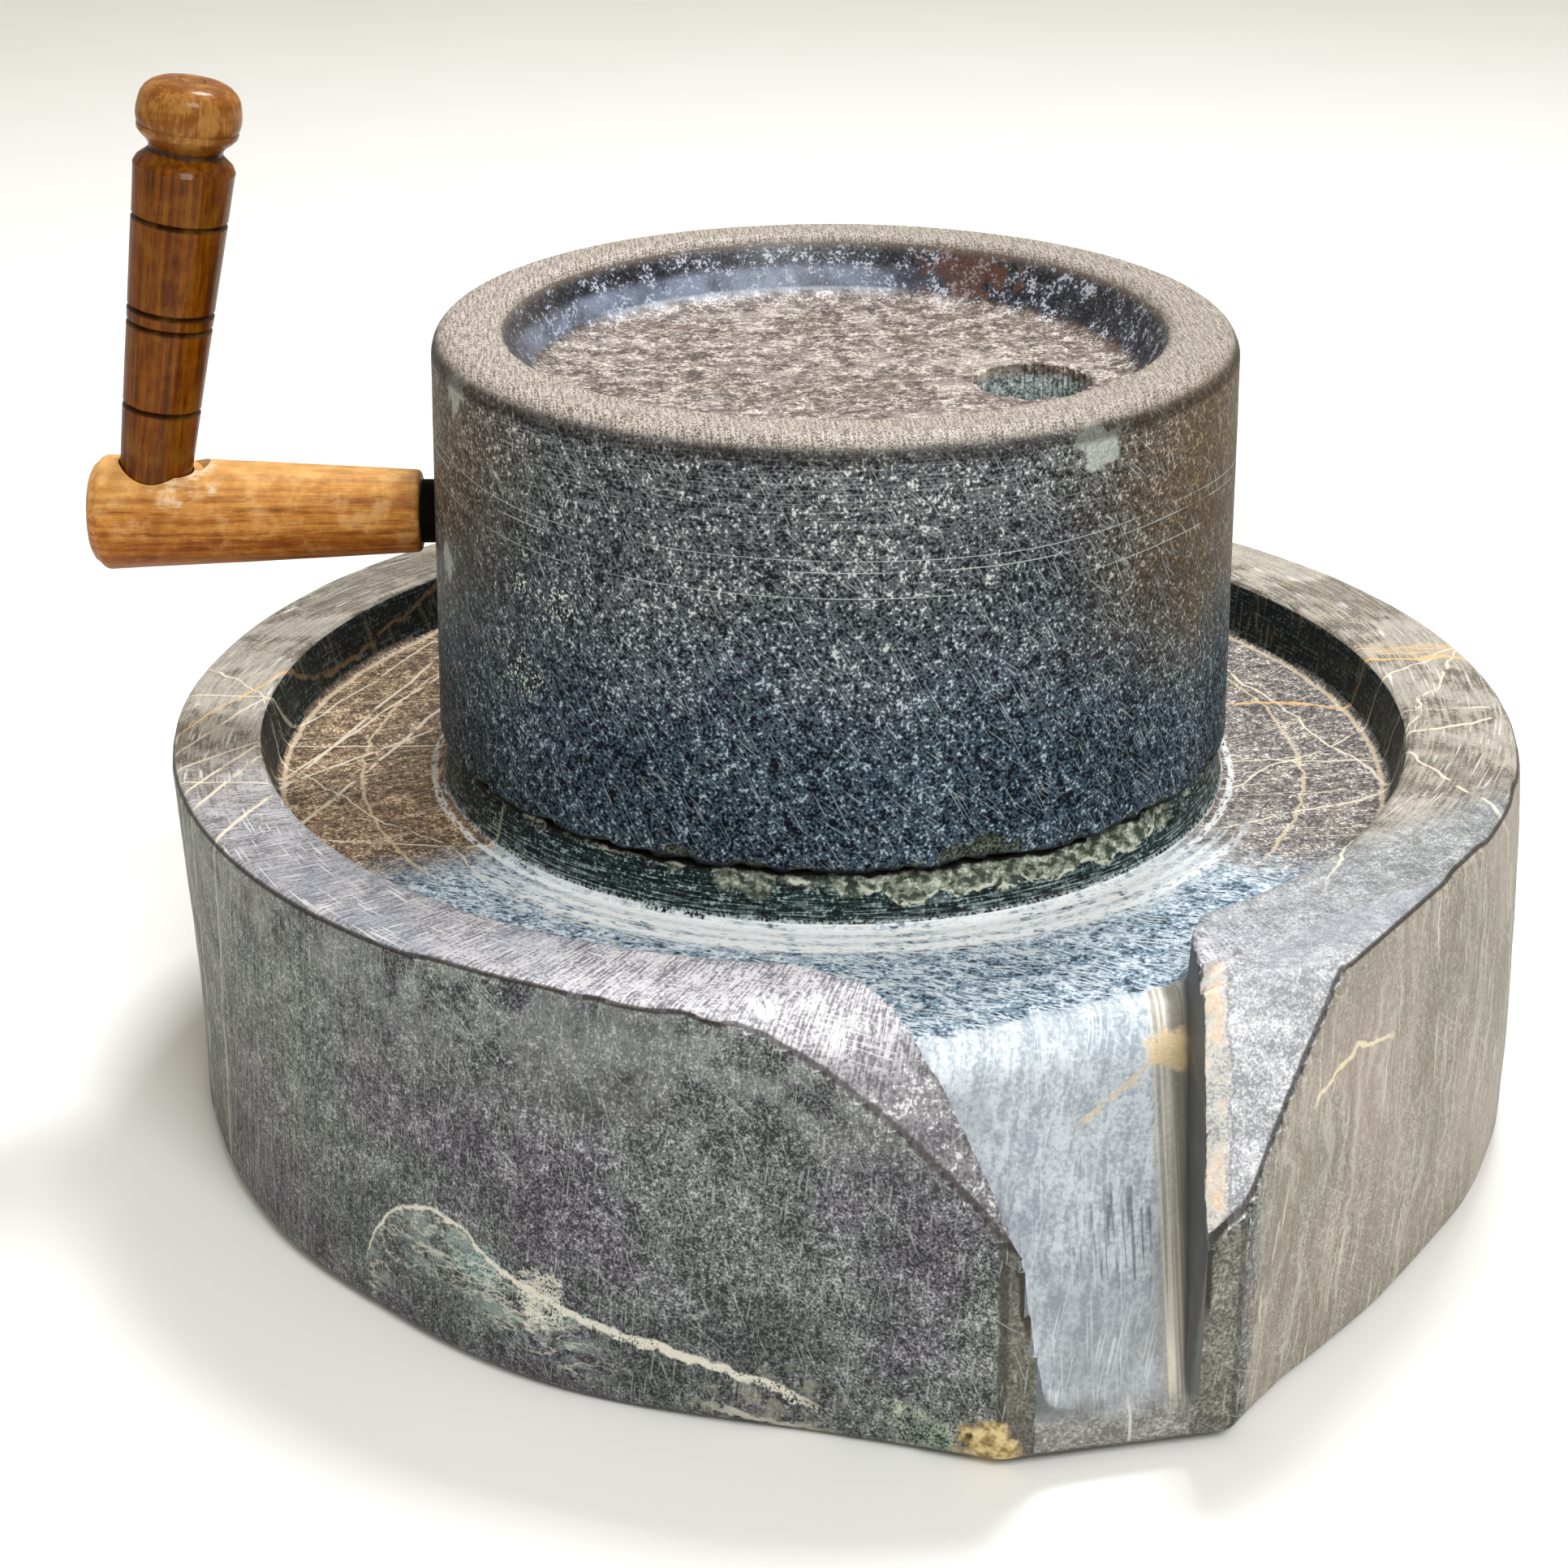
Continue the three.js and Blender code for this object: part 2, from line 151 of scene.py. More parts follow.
def tangent_point(side):
    """Where the flank from a nose corner runs into the round."""
    arm = corners[side] - BODY_CENTRE
    turn = bearing_of(arm.x, arm.y) + side * math.acos(BODY_RADIUS / arm.length)
    return BODY_CENTRE + BODY_RADIUS * Vector((math.sin(turn), -math.cos(turn)))


tangents = {side: tangent_point(side) for side in (-1, 1)}
flank_start = {side: bearing_of(*tangents[side]) for side in (-1, 1)}
nose_corner = {side: bearing_of(*corners[side]) for side in (-1, 1)}


def reach_line(direction, start, end):
    """How far a ray from the axis goes before it meets the line through two points."""
    along = end - start
    return (start.x * along.y - start.y * along.x) / (direction.x * along.y - direction.y * along.x)


def plan_reach(bearing):
    """Distance in mm from the axis to the block's upper outline."""
    direction = Vector((math.sin(bearing), -math.cos(bearing)))
    if nose_corner[-1] <= bearing <= nose_corner[1]:
        return reach_line(direction, corners[-1], corners[1])
    side = 1 if bearing > 0 else -1
    if abs(bearing) < abs(flank_start[side]):
        return reach_line(direction, corners[side], tangents[side])
    middle = direction.dot(BODY_CENTRE)
    return middle + math.sqrt(middle**2 - BODY_CENTRE.length_squared + BODY_RADIUS**2)


print("flanks meet the round at", [round(math.degrees(b), 1) for b in flank_start.values()], "degrees")

# %% [markdown]
# ## The lower stone's body
# The profile runs from under the stone, up the wall, over the rim, down into the trough and up the bed that
# the runner grinds on. It is spun once round. The columns are then crowded towards the spout, where the
# carving is, and two of them are put exactly on the nose's corners, so that those edges stay straight.

# %% Spin the block
WALL_LEAN = [
    (-180, -1), (-90, -2.5), (-62, 0), (-34, 7), (-12, 1.5),
    (12, 1), (28, 5), (60, 3.5), (110, 1), (180, -1),
]  # bearing in degrees, and how far the wall's foot stands out there
BASE_STEPS = 470
CROWDING = 0.38  # how strongly the columns gather at the spout
RIM_EDGE = 168.5  # where the rim's outer rounding begins
RIM_INNER = 149.0
PULL_REACH = 0.1  # radians on each side of a corner in which the columns follow it
NOSE_LIFT, LIFT_START, LIFT_HEIGHT = 1.8, 176.0, 12.0  # the nose's foot is dressed clear of the ground
BED_EDGE, BED_TOP = 98.5, 97.0

block_profile = [
    (0, 0), (120, 0), *arc(166.5, 5, 5, 270, 360, 4),
    *arc(RIM_EDGE, 96, 3, 0, 90, 5),
    *arc(148, 97, 2, 90, 180, 3),
    (143.5, 85.5), (142, 84), (101.5, 84), (100, 86), (BED_EDGE, 96), (97.5, BED_TOP), (0, BED_TOP),
]


def block_spacing(place):
    """Coarse where nobody looks: underneath, and on the bed under the runner."""
    if place.z < 1:
        return 40
    if place.z > BED_TOP - 0.1 and place.x < 97:
        return 30 if place.x < 80 else 2
    return 1.6


def wall_lean(degrees):
    """How far the wall's foot stands outside the upper outline, eased between the listed bearings."""
    for (low, before), (high, after) in zip(WALL_LEAN, WALL_LEAN[1:]):
        if degrees <= high:
            return before + (after - before) * blend_up(degrees, low, high)
    return WALL_LEAN[-1][1]


block = turned(block_profile, BASE_STEPS, block_spacing)


def crowd(bearing):
    """Draws a column's bearing towards the spout."""
    return bearing - CROWDING * math.sin(bearing)


columns = sorted(crowd(-math.pi + math.tau * i / BASE_STEPS) for i in range(BASE_STEPS))
pulls = [(corner, corner - min(columns, key=lambda c: abs(c - corner))) for corner in nose_corner.values()]
for vert in block.verts:
    radius = math.hypot(vert.co.x, vert.co.y) / MM
    if radius < 0.01:
        continue
    height = vert.co.z / MM
    bearing = crowd(bearing_of(vert.co.x, vert.co.y))
    bearing += sum(pull * max(0, 1 - abs(bearing - corner) / PULL_REACH) for corner, pull in pulls)
    if radius > RIM_INNER:
        out = (plan_reach(bearing) - BODY_RADIUS) * min((radius - RIM_INNER) / (RIM_EDGE - RIM_INNER), 1)
        swell = math.sin(min(1, 1.25 * (1 - height / RIM_TOP)) * math.pi / 2)
        radius += out + wall_lean(math.degrees(bearing)) * swell * blend_up(radius, 150, RIM_EDGE)
    distance = radius * math.cos(bearing)
    if distance > LIFT_START and height < LIFT_HEIGHT:
        run = (distance - LIFT_START) / (NOSE_REACH - LIFT_START)
        height += NOSE_LIFT * run * (1 - height / LIFT_HEIGHT)
    vert.co = Vector((radius * math.sin(bearing), -radius * math.cos(bearing), height)) * MM
report("block", block)

# %% [markdown]
# ## Carving the spout
# The spout is cut out of the block: its two arms fall away to the nose, and between them a funnel leads the
# batter from the trough to the nose's face. Each cut is a grid laid out as the surface that the chisel
# leaves. Extruding the grid upwards closes it into a solid, and a Boolean takes that solid away from the
# block. The grids are fine, because the surface left in the stone is the grid's own.

# %% Lay out the cutters
CLEAR_ABOVE = 140.0
CHUTE_LIP, LIP_ROUND, CHUTE_CORNER = 155.0, 6.0, 6.0
TROUGH_FLOOR, CHUTE_END = 84.0, 14.0
CHUTE_SIDES = {-1: (17.0, 0.52, 0.14), 1: (16.0, 0.37, 0.05)}  # half width, flare, lean
ARM_SLOPES = {-1: (150.0, 194.5, 1.78), 1: (171.0, 200.0, 1.15)}  # start, end, bend
ARM_DROP = 44.7
FUNNEL_START, FUNNEL_FLARE = 150, 0.35  # behind this line the chute opens wider into the trough


def cutter_under(surface, across_steps, along_steps):
    """The solid above a surface, which is given as a function of two numbers from 0 to 1."""
    bm = bmesh.new()
    bmesh.ops.create_grid(bm, x_segments=across_steps, y_segments=along_steps, size=0.5)
    for vert in bm.verts:
        vert.co = Vector(surface(vert.co.x + 0.5, vert.co.y + 0.5)) * MM
    lid = bmesh.ops.extrude_face_region(bm, geom=bm.faces[:])
    for item in lid["geom"]:
        if isinstance(item, bmesh.types.BMVert):
            item.co.z = CLEAR_ABOVE * MM
    bmesh.ops.recalc_face_normals(bm, faces=bm.faces)
    return bm


def arm_top(side, distance):
    """The height of an arm's top, which is the rim's until the arm begins to fall."""
    start, end, bend = ARM_SLOPES[side]
    run = min(max((distance - start) / (end - start), 0), 1)
    return RIM_TOP - ARM_DROP * run**bend


def chute_floor(distance):
    """The trough's height, then a rounded lip, then a straight slope to the nose."""
    slope = (TROUGH_FLOOR - CHUTE_END) / (NOSE_REACH - CHUTE_LIP)
    past = distance - CHUTE_LIP
    if past <= -LIP_ROUND:
        return TROUGH_FLOOR
    if past < LIP_ROUND:
        return TROUGH_FLOOR - slope * (past + LIP_ROUND) ** 2 / (4 * LIP_ROUND)
    return TROUGH_FLOOR - slope * past


def chute_reach(side, distance):
    """How far a side of the chute's floor is from the middle line."""
    half, flare, _ = CHUTE_SIDES[side]
    return half + flare * max(NOSE_REACH - distance, 0) + FUNNEL_FLARE * max(FUNNEL_START - distance, 0)


CUT_REACH, CUT_END = 92, 222  # how far the arms' cutters run sideways and forwards
CUT_CLEARANCE = 0.3  # a cutter that hasn't reached the stone yet stays this far above it
STEP_DROP = 0.9  # a flake has come off the right arm and left a low step in front of the rim
STEP_START, STEP_ACROSS, STEP_SKEW = 162.7, 34.9, 0.333  # it runs slantwise through this place
FACET_WIDTH, FACET_DROP = 4.2, 1.5  # the right arm's inner edge is dressed to a narrow facet


def left_arm_surface(u, v):
    start = ARM_SLOPES[-1][0]
    distance = start - 0.5 + (CUT_END - start + 0.5) * v
    return 1 - CUT_REACH * u, -distance, arm_top(-1, distance) + (CUT_CLEARANCE if distance < start else 0)


def right_arm_surface(u, v):
    ridge = chute_reach(1, 150 + 60 * v) + 2 + FACET_WIDTH
    facet = 0.12  # the part of the grid that is inside the chute or on the facet
    across = ridge * u / facet if u < facet else ridge + (CUT_REACH - ridge) * (u - facet) / (1 - facet)
    start = STEP_START - STEP_SKEW * (min(across, 62) - STEP_ACROSS)
    distance = start + (CUT_END - start) * v
    fade = (1 - blend_up(across, 50, 60)) * (1 - blend_up(distance, 175, 200))
    height = arm_top(1, distance) - STEP_DROP * fade
    if height > RIM_TOP - 0.05:
        height = RIM_TOP + CUT_CLEARANCE
    height -= FACET_DROP * min(max((ridge - across) / FACET_WIDTH, 0), 1.5) * blend_up(distance, 160, 166)
    return across - 1, -distance, height


WALL_SHARE = 0.3  # of the grid's width for each of the chute's side walls
CORNER_SHARE = 0.25  # of a wall's share for the rounded corner at its foot
CHUTE_START, CHUTE_CUT_END = 128, 210


def chute_surface(u, v):
    distance = CHUTE_START + (CHUTE_CUT_END - CHUTE_START) * v
    floor = chute_floor(distance)
    side = -1 if u < 0.5 else 1
    t = abs(u - 0.5) * 2  # 0 at the middle, 1 at the top of a wall
    reach = chute_reach(side, distance)
    bottom = 1 - 2 * WALL_SHARE
    if t < bottom:
        return side * (reach - CHUTE_CORNER) * t / bottom, -distance, floor
    t = (t - bottom) / (1 - bottom)
    if t < CORNER_SHARE:
        turn = t / CORNER_SHARE * math.pi / 2
        across = reach - CHUTE_CORNER + CHUTE_CORNER * math.sin(turn)
        return side * (across + 0.01 * t), -distance, floor + CHUTE_CORNER * (1 - math.cos(turn))
    up = (t - CORNER_SHARE) / (1 - CORNER_SHARE)
    height = floor + CHUTE_CORNER + up * (CLEAR_ABOVE - 5 - floor - CHUTE_CORNER)
    lean = CHUTE_SIDES[side][2] * (height - floor - CHUTE_CORNER)
    return side * (reach + 0.0025 + lean), -distance, height


cutters = [
    cutter_under(left_arm_surface, 62, 50),
    cutter_under(right_arm_surface, 66, 44),
    cutter_under(chute_surface, 120, 54),
]
for cutter in cutters:
    report("cutter", cutter)

# %% Carve with Booleans
def stand_in(name, bm):
    """A mesh object from a bmesh, which is used up."""
    mesh = bpy.data.meshes.new(name)
    bm.to_mesh(mesh)
    bm.free()
    thing = bpy.data.objects.new(name, mesh)
    bpy.context.scene.collection.objects.link(thing)
    return thing


def close_up(bm, distance):
    """Merges the vertices that are nearer than the distance in mm, and closes what is left open."""
    bmesh.ops.remove_doubles(bm, verts=bm.verts, dist=distance * MM)
    bmesh.ops.delete(bm, geom=[vert for vert in bm.verts if not vert.link_faces], context="VERTS")
    bmesh.ops.holes_fill(bm, edges=[edge for edge in bm.edges if edge.is_boundary])


def carve(body, tools):
    """Takes every tool's solid away from the body and returns the result as one bmesh."""
    target = stand_in("rough", body)
    blocks = [stand_in("tool", tool) for tool in tools]
    for tool in blocks:
        cut = target.modifiers.new("cut", "BOOLEAN")
        cut.operation = "DIFFERENCE"
        cut.solver = "EXACT"
        cut.object = tool
    bpy.context.view_layer.update()
    done = target.evaluated_get(bpy.context.evaluated_depsgraph_get())
    bm = bmesh.new()
    bm.from_mesh(done.data)
    for thing in [target, *blocks]:
        bpy.data.meshes.remove(thing.data)
    close_up(bm, 0.002)
    bmesh.ops.triangulate(bm, faces=[face for face in bm.faces if len(face.verts) > 4])
    return bm


base = carve(block, cutters)
report("carved block", base)

# %% [markdown]
# ## Wear, chips and hand work
# Carved stone has no knife edges. Smoothing only the vertices on the sharp edges rounds those a little and
# leaves the faces alone. A chip is a shallow hollow where a flake has sprung off an edge: the vertices
# inside a ball are pushed on to its far side, which leaves the shell-shaped scar that a real flake leaves.
# Slow noise then makes the hand-dressed faces gently uneven. All random places come from a seeded
# generator, so they are the same in each run.

# %% Helpers for worn stone
def soften(bm, degrees, rounds):
    """Rounds every edge that is sharper than the angle."""
    edges = [e for e in bm.edges if e.is_manifold and e.calc_face_angle() > math.radians(degrees)]
    sharp = {v for e in edges for v in e.verts}
    for _ in range(rounds):
        bmesh.ops.smooth_vert(
            bm, verts=list(sharp), factor=0.5, use_axis_x=True, use_axis_y=True, use_axis_z=True
        )


def scoop(verts, centre, radius, direction, layer):
    """Pushes the vertices inside a ball along a direction on to its far side, and marks them as chipped."""
    direction = direction.normalized()
    for vert in verts:
        off = vert.co / MM - centre
        ball = radius * (1 + 0.14 * noise.noise(vert.co / MM / 3) + 0.06 * noise.noise(vert.co / MM))
        if off.length < ball:
            along = off.dot(direction)
            push = math.sqrt(along**2 - off.length_squared + ball**2) - along
            vert.co += direction * push * MM
            vert[layer] = max(vert[layer], blend_up(push, 0.1, 0.5))


def uneven(bm, amount):
    """Moves each vertex along its normal by a sum of noises: amount gives the height in mm at a place."""
    bm.normal_update()
    for vert in bm.verts:
        place = vert.co / MM
        vert.co += vert.normal * amount(place, vert.normal) * MM


def polar(bearing, radius, height):
    """A place in mm from a bearing in degrees, a radius and a height."""
    turn = math.radians(bearing)
    return Vector((radius * math.sin(turn), -radius * math.cos(turn), height))


# %% Wear the lower stone
base_chipped = base.verts.layers.float.new("chipped")
soften(base, 28, 2)
dice = random.Random(11)

bed_edge = [v for v in base.verts if 93 < v.co.xy.length / MM < 101.5 and 85 < v.co.z / MM < 98]
bearing = -36.0
while bearing < 43:
    size = dice.uniform(4.5, 8)
    spot = polar(bearing, BED_EDGE + size * dice.uniform(0.6, 0.8), 97.5 + dice.uniform(-2.5, 2))
    scoop(bed_edge, spot, size, -polar(bearing, 1, 0.35), base_chipped)
    bearing += dice.uniform(2.6, 5.2)
for _ in range(70):
    bearing = dice.uniform(45, 322)
    size = dice.uniform(2, 4.5)
    spot = polar(bearing, BED_EDGE + size * 0.75, BED_TOP)
    scoop(bed_edge, spot, size, -polar(bearing, 1, 0.5), base_chipped)

rim_edge = [v for v in base.verts if v.co.z / MM > 50 and v.co.xy.length / MM > 155]
for _ in range(90):
    bearing = dice.uniform(-180, 180)
    size = dice.uniform(1.6, 3.4)
    reach = plan_reach(math.radians(bearing))
    distance = reach * math.cos(math.radians(bearing))
    top = arm_top(1 if bearing > 0 else -1, distance)
    spot = polar(bearing, reach + size * dice.uniform(0.62, 0.82), top + size * 0.4)
    scoop(rim_edge, spot, size, -polar(bearing, 1, 0.6), base_chipped)
for _ in range(30):
    run = dice.uniform(0.05, 1)
    spot = corners[1].lerp(tangents[1], run)
    size = dice.uniform(1.4, 3)
    spot = Vector((spot.x + 0.75 * size, spot.y - 0.45 * size, arm_top(1, -spot.y) + 0.3 * size))
    scoop(rim_edge, spot, size, Vector((-1, 0.5, -0.5)), base_chipped)

foot = [v for v in base.verts if v.co.z / MM < 30 and v.co.y / MM < -150]
for spot, size in (((-40, -204, -9), 17), ((-52, -192, -8), 13), ((-27, -203, -2), 8)):
    scoop(foot, Vector(spot), size, Vector((0.15, 0.75, 0.65)), base_chipped)


def base_relief(place, normal):
    """Hand-dressed unevenness, slow on the wall and finer on the worked top faces."""
    if place.z < 1.5:
        return 0
    slow = noise.noise(place / 34) * 0.45 + noise.noise(place / 13) * 0.16
    fine = noise.noise(place / 4.5) * 0.07 + noise.noise(place / 2.2) * 0.03
    if abs(normal.z) > 0.5:
        slow *= 0.45
    return slow + fine


uneven(base, base_relief)
close_up(base, 0.02)
report("lower stone", base)

# %% [markdown]
# ## The runner stone
# The runner is a drum with a soft rounded rim, a shallow hopper dish, and an off-centre feed hole that the
# grain is swept into. It has a blind socket in its side for the crank's shank. It is turned like the block
# and bored with the same Booleans, and its lower edge is broken where the two stones meet.

# %% Turn and bore the runner
RUNNER_BOTTOM, RUNNER_RADIUS = 97.3, 101
FEED_RADIUS, DISH_FLOOR = 14, 88.5
# the large flakes off its lower edge: bearing, size and height above the bottom
FLAKES = ((2, 11, 1), (5.5, 8, 0), (-1.5, 8.5, 1.5), (-38.7, 7, 0), (-20, 5, -1), (24, 5, -1), (33, 6, -1))
CRANK_BEARING = math.radians(163.1)
ARM_HEIGHT = 54.0
FEED_HOLE = Matrix.Rotation(CRANK_BEARING + math.radians(176.3), 3, "Z") @ Vector((49, 0, 0))
runner_frame = Matrix.Translation((0, 0, RUNNER_BOTTOM * MM)) @ Matrix.Rotation(CRANK_BEARING, 4, "Z")
arm_frame = runner_frame @ Matrix.Translation((0, 0, ARM_HEIGHT * MM)) @ Matrix.Rotation(math.pi / 2, 4, "Y")

runner_profile = [
    (0, 0), (99.8, 0), (RUNNER_RADIUS, 1.2),
    *arc(92.5, 97.5, 6.5, 0, 90, 9),
    *arc(85, 100, 4, 90, 160, 7),
    (79.6, 98), (78, 94.8), (76.4, 91.8), (74.9, 90.2), (73, 89.2), (71, 88.7),
    (69, DISH_FLOOR), (0, DISH_FLOOR),
]


def runner_spacing(place):
    if place.z < 0.5:
        return 40 if place.x < 90 else 2
    if place.z < 14 and place.x > 90:
        return 1.0
    return 8 if place.x < 12 else 1.8


def rod(radius, start, end, frame, steps=64):
    """A plain cylinder along a frame's Z axis, to bore a hole with."""
    bm = bmesh.new()
    bmesh.ops.create_cone(
        bm, cap_ends=True, segments=steps, radius1=radius * MM, radius2=radius * MM, depth=(end - start) * MM
    )
    bmesh.ops.translate(bm, verts=bm.verts, vec=(0, 0, (start + end) / 2 * MM))
    bmesh.ops.transform(bm, verts=bm.verts, matrix=frame)
    return bm


drum = turned(runner_profile, 480, runner_spacing)
bmesh.ops.transform(drum, verts=drum.verts, matrix=runner_frame)
feed_frame = Matrix.Translation((FEED_HOLE.x * MM, FEED_HOLE.y * MM, 0))
runner = carve(drum, [rod(FEED_RADIUS, 80, 200, feed_frame, 96), rod(8.3, 77.7, 110, arm_frame, 48)])

runner_chipped = runner.verts.layers.float.new("chipped")
soften(runner, 40, 2)
lower_edge = [v for v in runner.verts if v.co.xy.length / MM > 92 and v.co.z / MM < RUNNER_BOTTOM + 16]
for bearing, size, rise in FLAKES:
    spot = polar(bearing, RUNNER_RADIUS + size * 0.7, RUNNER_BOTTOM + rise)
    scoop(lower_edge, spot, size, -polar(bearing, 1, -0.25), runner_chipped)
for _ in range(150):
    bearing = dice.uniform(-180, 180)
    size = dice.uniform(2.2, 7)
    spot = polar(bearing, RUNNER_RADIUS + size * 0.62, RUNNER_BOTTOM - size * dice.uniform(0.2, 0.6))
    scoop(lower_edge, spot, size, -polar(bearing, 1, -0.5), runner_chipped)

hole_edge = [v for v in runner.verts if v.co.z / MM > 175 and (v.co.xy / MM - FEED_HOLE.xy).length < 26]
for _ in range(16):
    turn = dice.uniform(2.0, 5.2)
    size = dice.uniform(1.6, 3.6)
    out = Vector((math.cos(turn), math.sin(turn), 0))
    up = Vector((0, 0, RUNNER_BOTTOM + DISH_FLOOR + size * 0.72))
    spot = FEED_HOLE + out * (FEED_RADIUS - size * 0.2) + up
    scoop(hole_edge, spot, size, out * 0.4 + Vector((0, 0, -1)), runner_chipped)


def runner_relief(place, normal):
    return noise.noise(place / 30) * 0.12 + noise.noise(place / 8) * 0.05 + noise.noise(place / 2.5) * 0.02


uneven(runner, runner_relief)
close_up(runner, 0.02)
report("runner stone", runner)

# %% [markdown]
# ## The crank
# The crank is a black steel shank driven into the runner, a stout wooden arm on it, and an upright grip
# that stands in a bored seat and leans slightly inwards. All three were turned, so each is a spun profile
# laid along its own axis by a matrix. The grip's grooves and its knob are in the profile.

# %% Turn the crank's parts
GRIP_FOOT, GRIP_LEAN = 171.5, math.radians(9.7)
GROOVES = (28.4, 49.6, 53.4, 76.0)  # distances along the grip
grip_foot = Matrix.Translation((GRIP_FOOT * MM, 0, ARM_HEIGHT * MM))
grip_frame = runner_frame @ grip_foot @ Matrix.Rotation(-GRIP_LEAN, 4, "Y")


def laid(profile, steps, spacing, frame):
    """A turned part laid along its frame's Z axis."""
    bm = turned(profile, steps, lambda place: spacing)
    bmesh.ops.transform(bm, verts=bm.verts, matrix=frame)
    return bm


shank = laid([(0, 78), (7.4, 78), (8, 78.6), (8, 103.3), (0, 103.3)], 64, 2, arm_frame)

arm_profile = [
    (0, 103.6), (8.8, 103.6), *arc(9.2, 104.8, 1.2, 270, 350, 4), (12.5, 143),
    *arc(11.9, 181.6, 2.5, 5, 60, 5), (12.2, 185.0), (10.6, 185.9), (8, 186.3), (0, 186.6),
]
seat_tool = laid([(0, 12.4), (11.6, 12.4), (15.6, 20.4), (15.6, 26), (0, 26)], 64, 6, grip_frame)
arm = carve(laid(arm_profile, 112, 1.2, arm_frame), [rod(9.4, 2.2, 40, grip_frame), seat_tool])


def groove(along, depth=0.8, half=0.75):
    """A groove in the grip's shaft, whose radius grows from 8.9 to 12.3 mm between foot and collar."""
    shaft = 8.9 + (12.3 - 8.9) * (along - 12.4) / (92 - 12.4)
    return [(shaft + 0.03, along - half), (shaft - depth, along), (shaft + 0.03, along + half)]


grip_profile = [
    (0, 2.5), (8.9, 2.5), (8.9, 12.4), *[point for along in GROOVES for point in groove(along)],
    (12.2, 87.6), (12.3, 88.6), (11.6, 90.0), (9.4, 91.9), (8.9, 92.6), (8.9, 93.4), (9.6, 94.6),
    (11.3, 96.1), (12.1, 97.1), (12.2, 98.0), (11.9, 98.4), (12.3, 98.9), (12.6, 100.4), (12.6, 101.9),
    (12.3, 104), (11.9, 105.6), (11.1, 107), (9.8, 108.2), (8.1, 109), (5.6, 109.4), (3.4, 109.45),
    (3.1, 109.1), (2.8, 109.5), (0, 109.6),
]
grip = laid(grip_profile, 112, 1.2, grip_frame)


def whittled(place, normal):
    return noise.noise(place / 22) * 0.12 + noise.noise(place / 7) * 0.035


for part, title in ((shank, "shank"), (arm, "arm"), (grip, "grip")):
    if part is not shank:
        uneven(part, whittled)
    close_up(part, 0.01)
    report(title, part)

# %% [markdown]
# ## Faces and their finishes
# The quern is one kind of stone, but each surface was worked and worn in its own way: the chiselled wall,
# the rubbed rim, the trough and the chute that the batter runs over, and the dark turned walls. The faces
# are sorted by where they lie, so that each kind gets its own finish. Two painted values go with them: how
# steep a surface is, and which side of the block's outer edge it is on. The second runs smoothly from -1 on
# the wall to 1 on the top, so its zero is a clean line along the edge, and a dark line is painted there.

# %% Sort the faces
WALL, RIM, TROUGH, DARK = range(4)


def in_chute(place):
    distance = -place.y
    side = 1 if place.x > 0 else -1
    lean = CHUTE_SIDES[side][2] * max(place.z - chute_floor(distance) - CHUTE_CORNER, 0)
    return distance > CHUTE_START and abs(place.x) < chute_reach(side, distance) + lean + 0.9


def base_region(place, normal):
    radius = place.xy.length
    below = arm_top(1 if place.x > 0 else -1, -place.y) - place.z
    if normal.z < -0.5:
        return WALL
    if radius < 101.8 and place.z > 84.7:  # the bed
        return DARK
    if in_chute(place) and below > (6 if normal.z > 0.35 else 0.6):
        return TROUGH
    if radius < 148 and 85.2 < place.z < 98 and normal.z < 0.8:  # the trough's wall
        return DARK
    if place.z < 86 and radius < 144:
        return TROUGH
    outside = radius - plan_reach(bearing_of(place.x, place.y))
    return RIM if below < (9 if place.x > 0 else 3) and outside < -0.8 else WALL


def runner_region(place, normal):
    return 1 if place.xy.length < 81.6 and place.z > RUNNER_BOTTOM + 5 else 0


def majority(bm):
    """Gives a face the finish of most of its neighbours, which straightens the borders."""
    swaps = {}
    for face in bm.faces:
        around = [other for edge in face.edges for other in edge.link_faces if other is not face]
        near = [other.material_index for other in around]
        common = max(sorted(set(near)), key=near.count)
        if near.count(common) * 2 > len(near):
            swaps[face] = common
    for face, finish in swaps.items():
        face.material_index = finish


for bm, sort in ((base, base_region), (runner, runner_region)):
    bm.normal_update()
    for face in bm.faces:
        face.material_index = sort(face.calc_center_median() / MM, face.normal)
    for _ in range(3):
        majority(bm)
steepness = base.verts.layers.float.new("steep")
border = base.verts.layers.float.new("border")
base.verts.index_update()
sides = []
for vert in base.verts:
    vert[steepness] = 1 - blend_up(vert.normal.z, 0.25, 0.75)
    walls = [face.material_index == WALL for face in vert.link_faces]
    sides.append(-1.0 if all(walls) else 1.0 if not any(walls) else 0.0)
joined = [[edge.other_vert(vert).index for edge in vert.link_edges] for vert in base.verts]
for _ in range(4):
    sides = [
        (side + sum(sides[other] for other in near)) / (1 + len(near)) for side, near in zip(sides, joined)
    ]
for vert, side in zip(base.verts, sides):
    vert[border] = side

# %% [markdown]
# ## From meshes to pieces
# Each mesh becomes an object that stands for its node of the frame and moves with that node's body. Its
# faces are shaded smooth, except over edges that are still sharp.

# %% Make the pieces
def piece(name, bm, node, body, sharp=32):
    """An object from a finished bmesh, bound to its node and its body."""
    mesh = bpy.data.meshes.new(name)
    bmesh.ops.recalc_face_normals(bm, faces=bm.faces)
    bm.to_mesh(mesh)
    bm.free()
    mesh.shade_smooth()
    mesh.set_sharp_from_angle(angle=math.radians(sharp))
    made = bpy.data.objects.new(name, mesh)
    bpy.context.scene.collection.objects.link(made)
    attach(made, body)
    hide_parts(node)
    return made


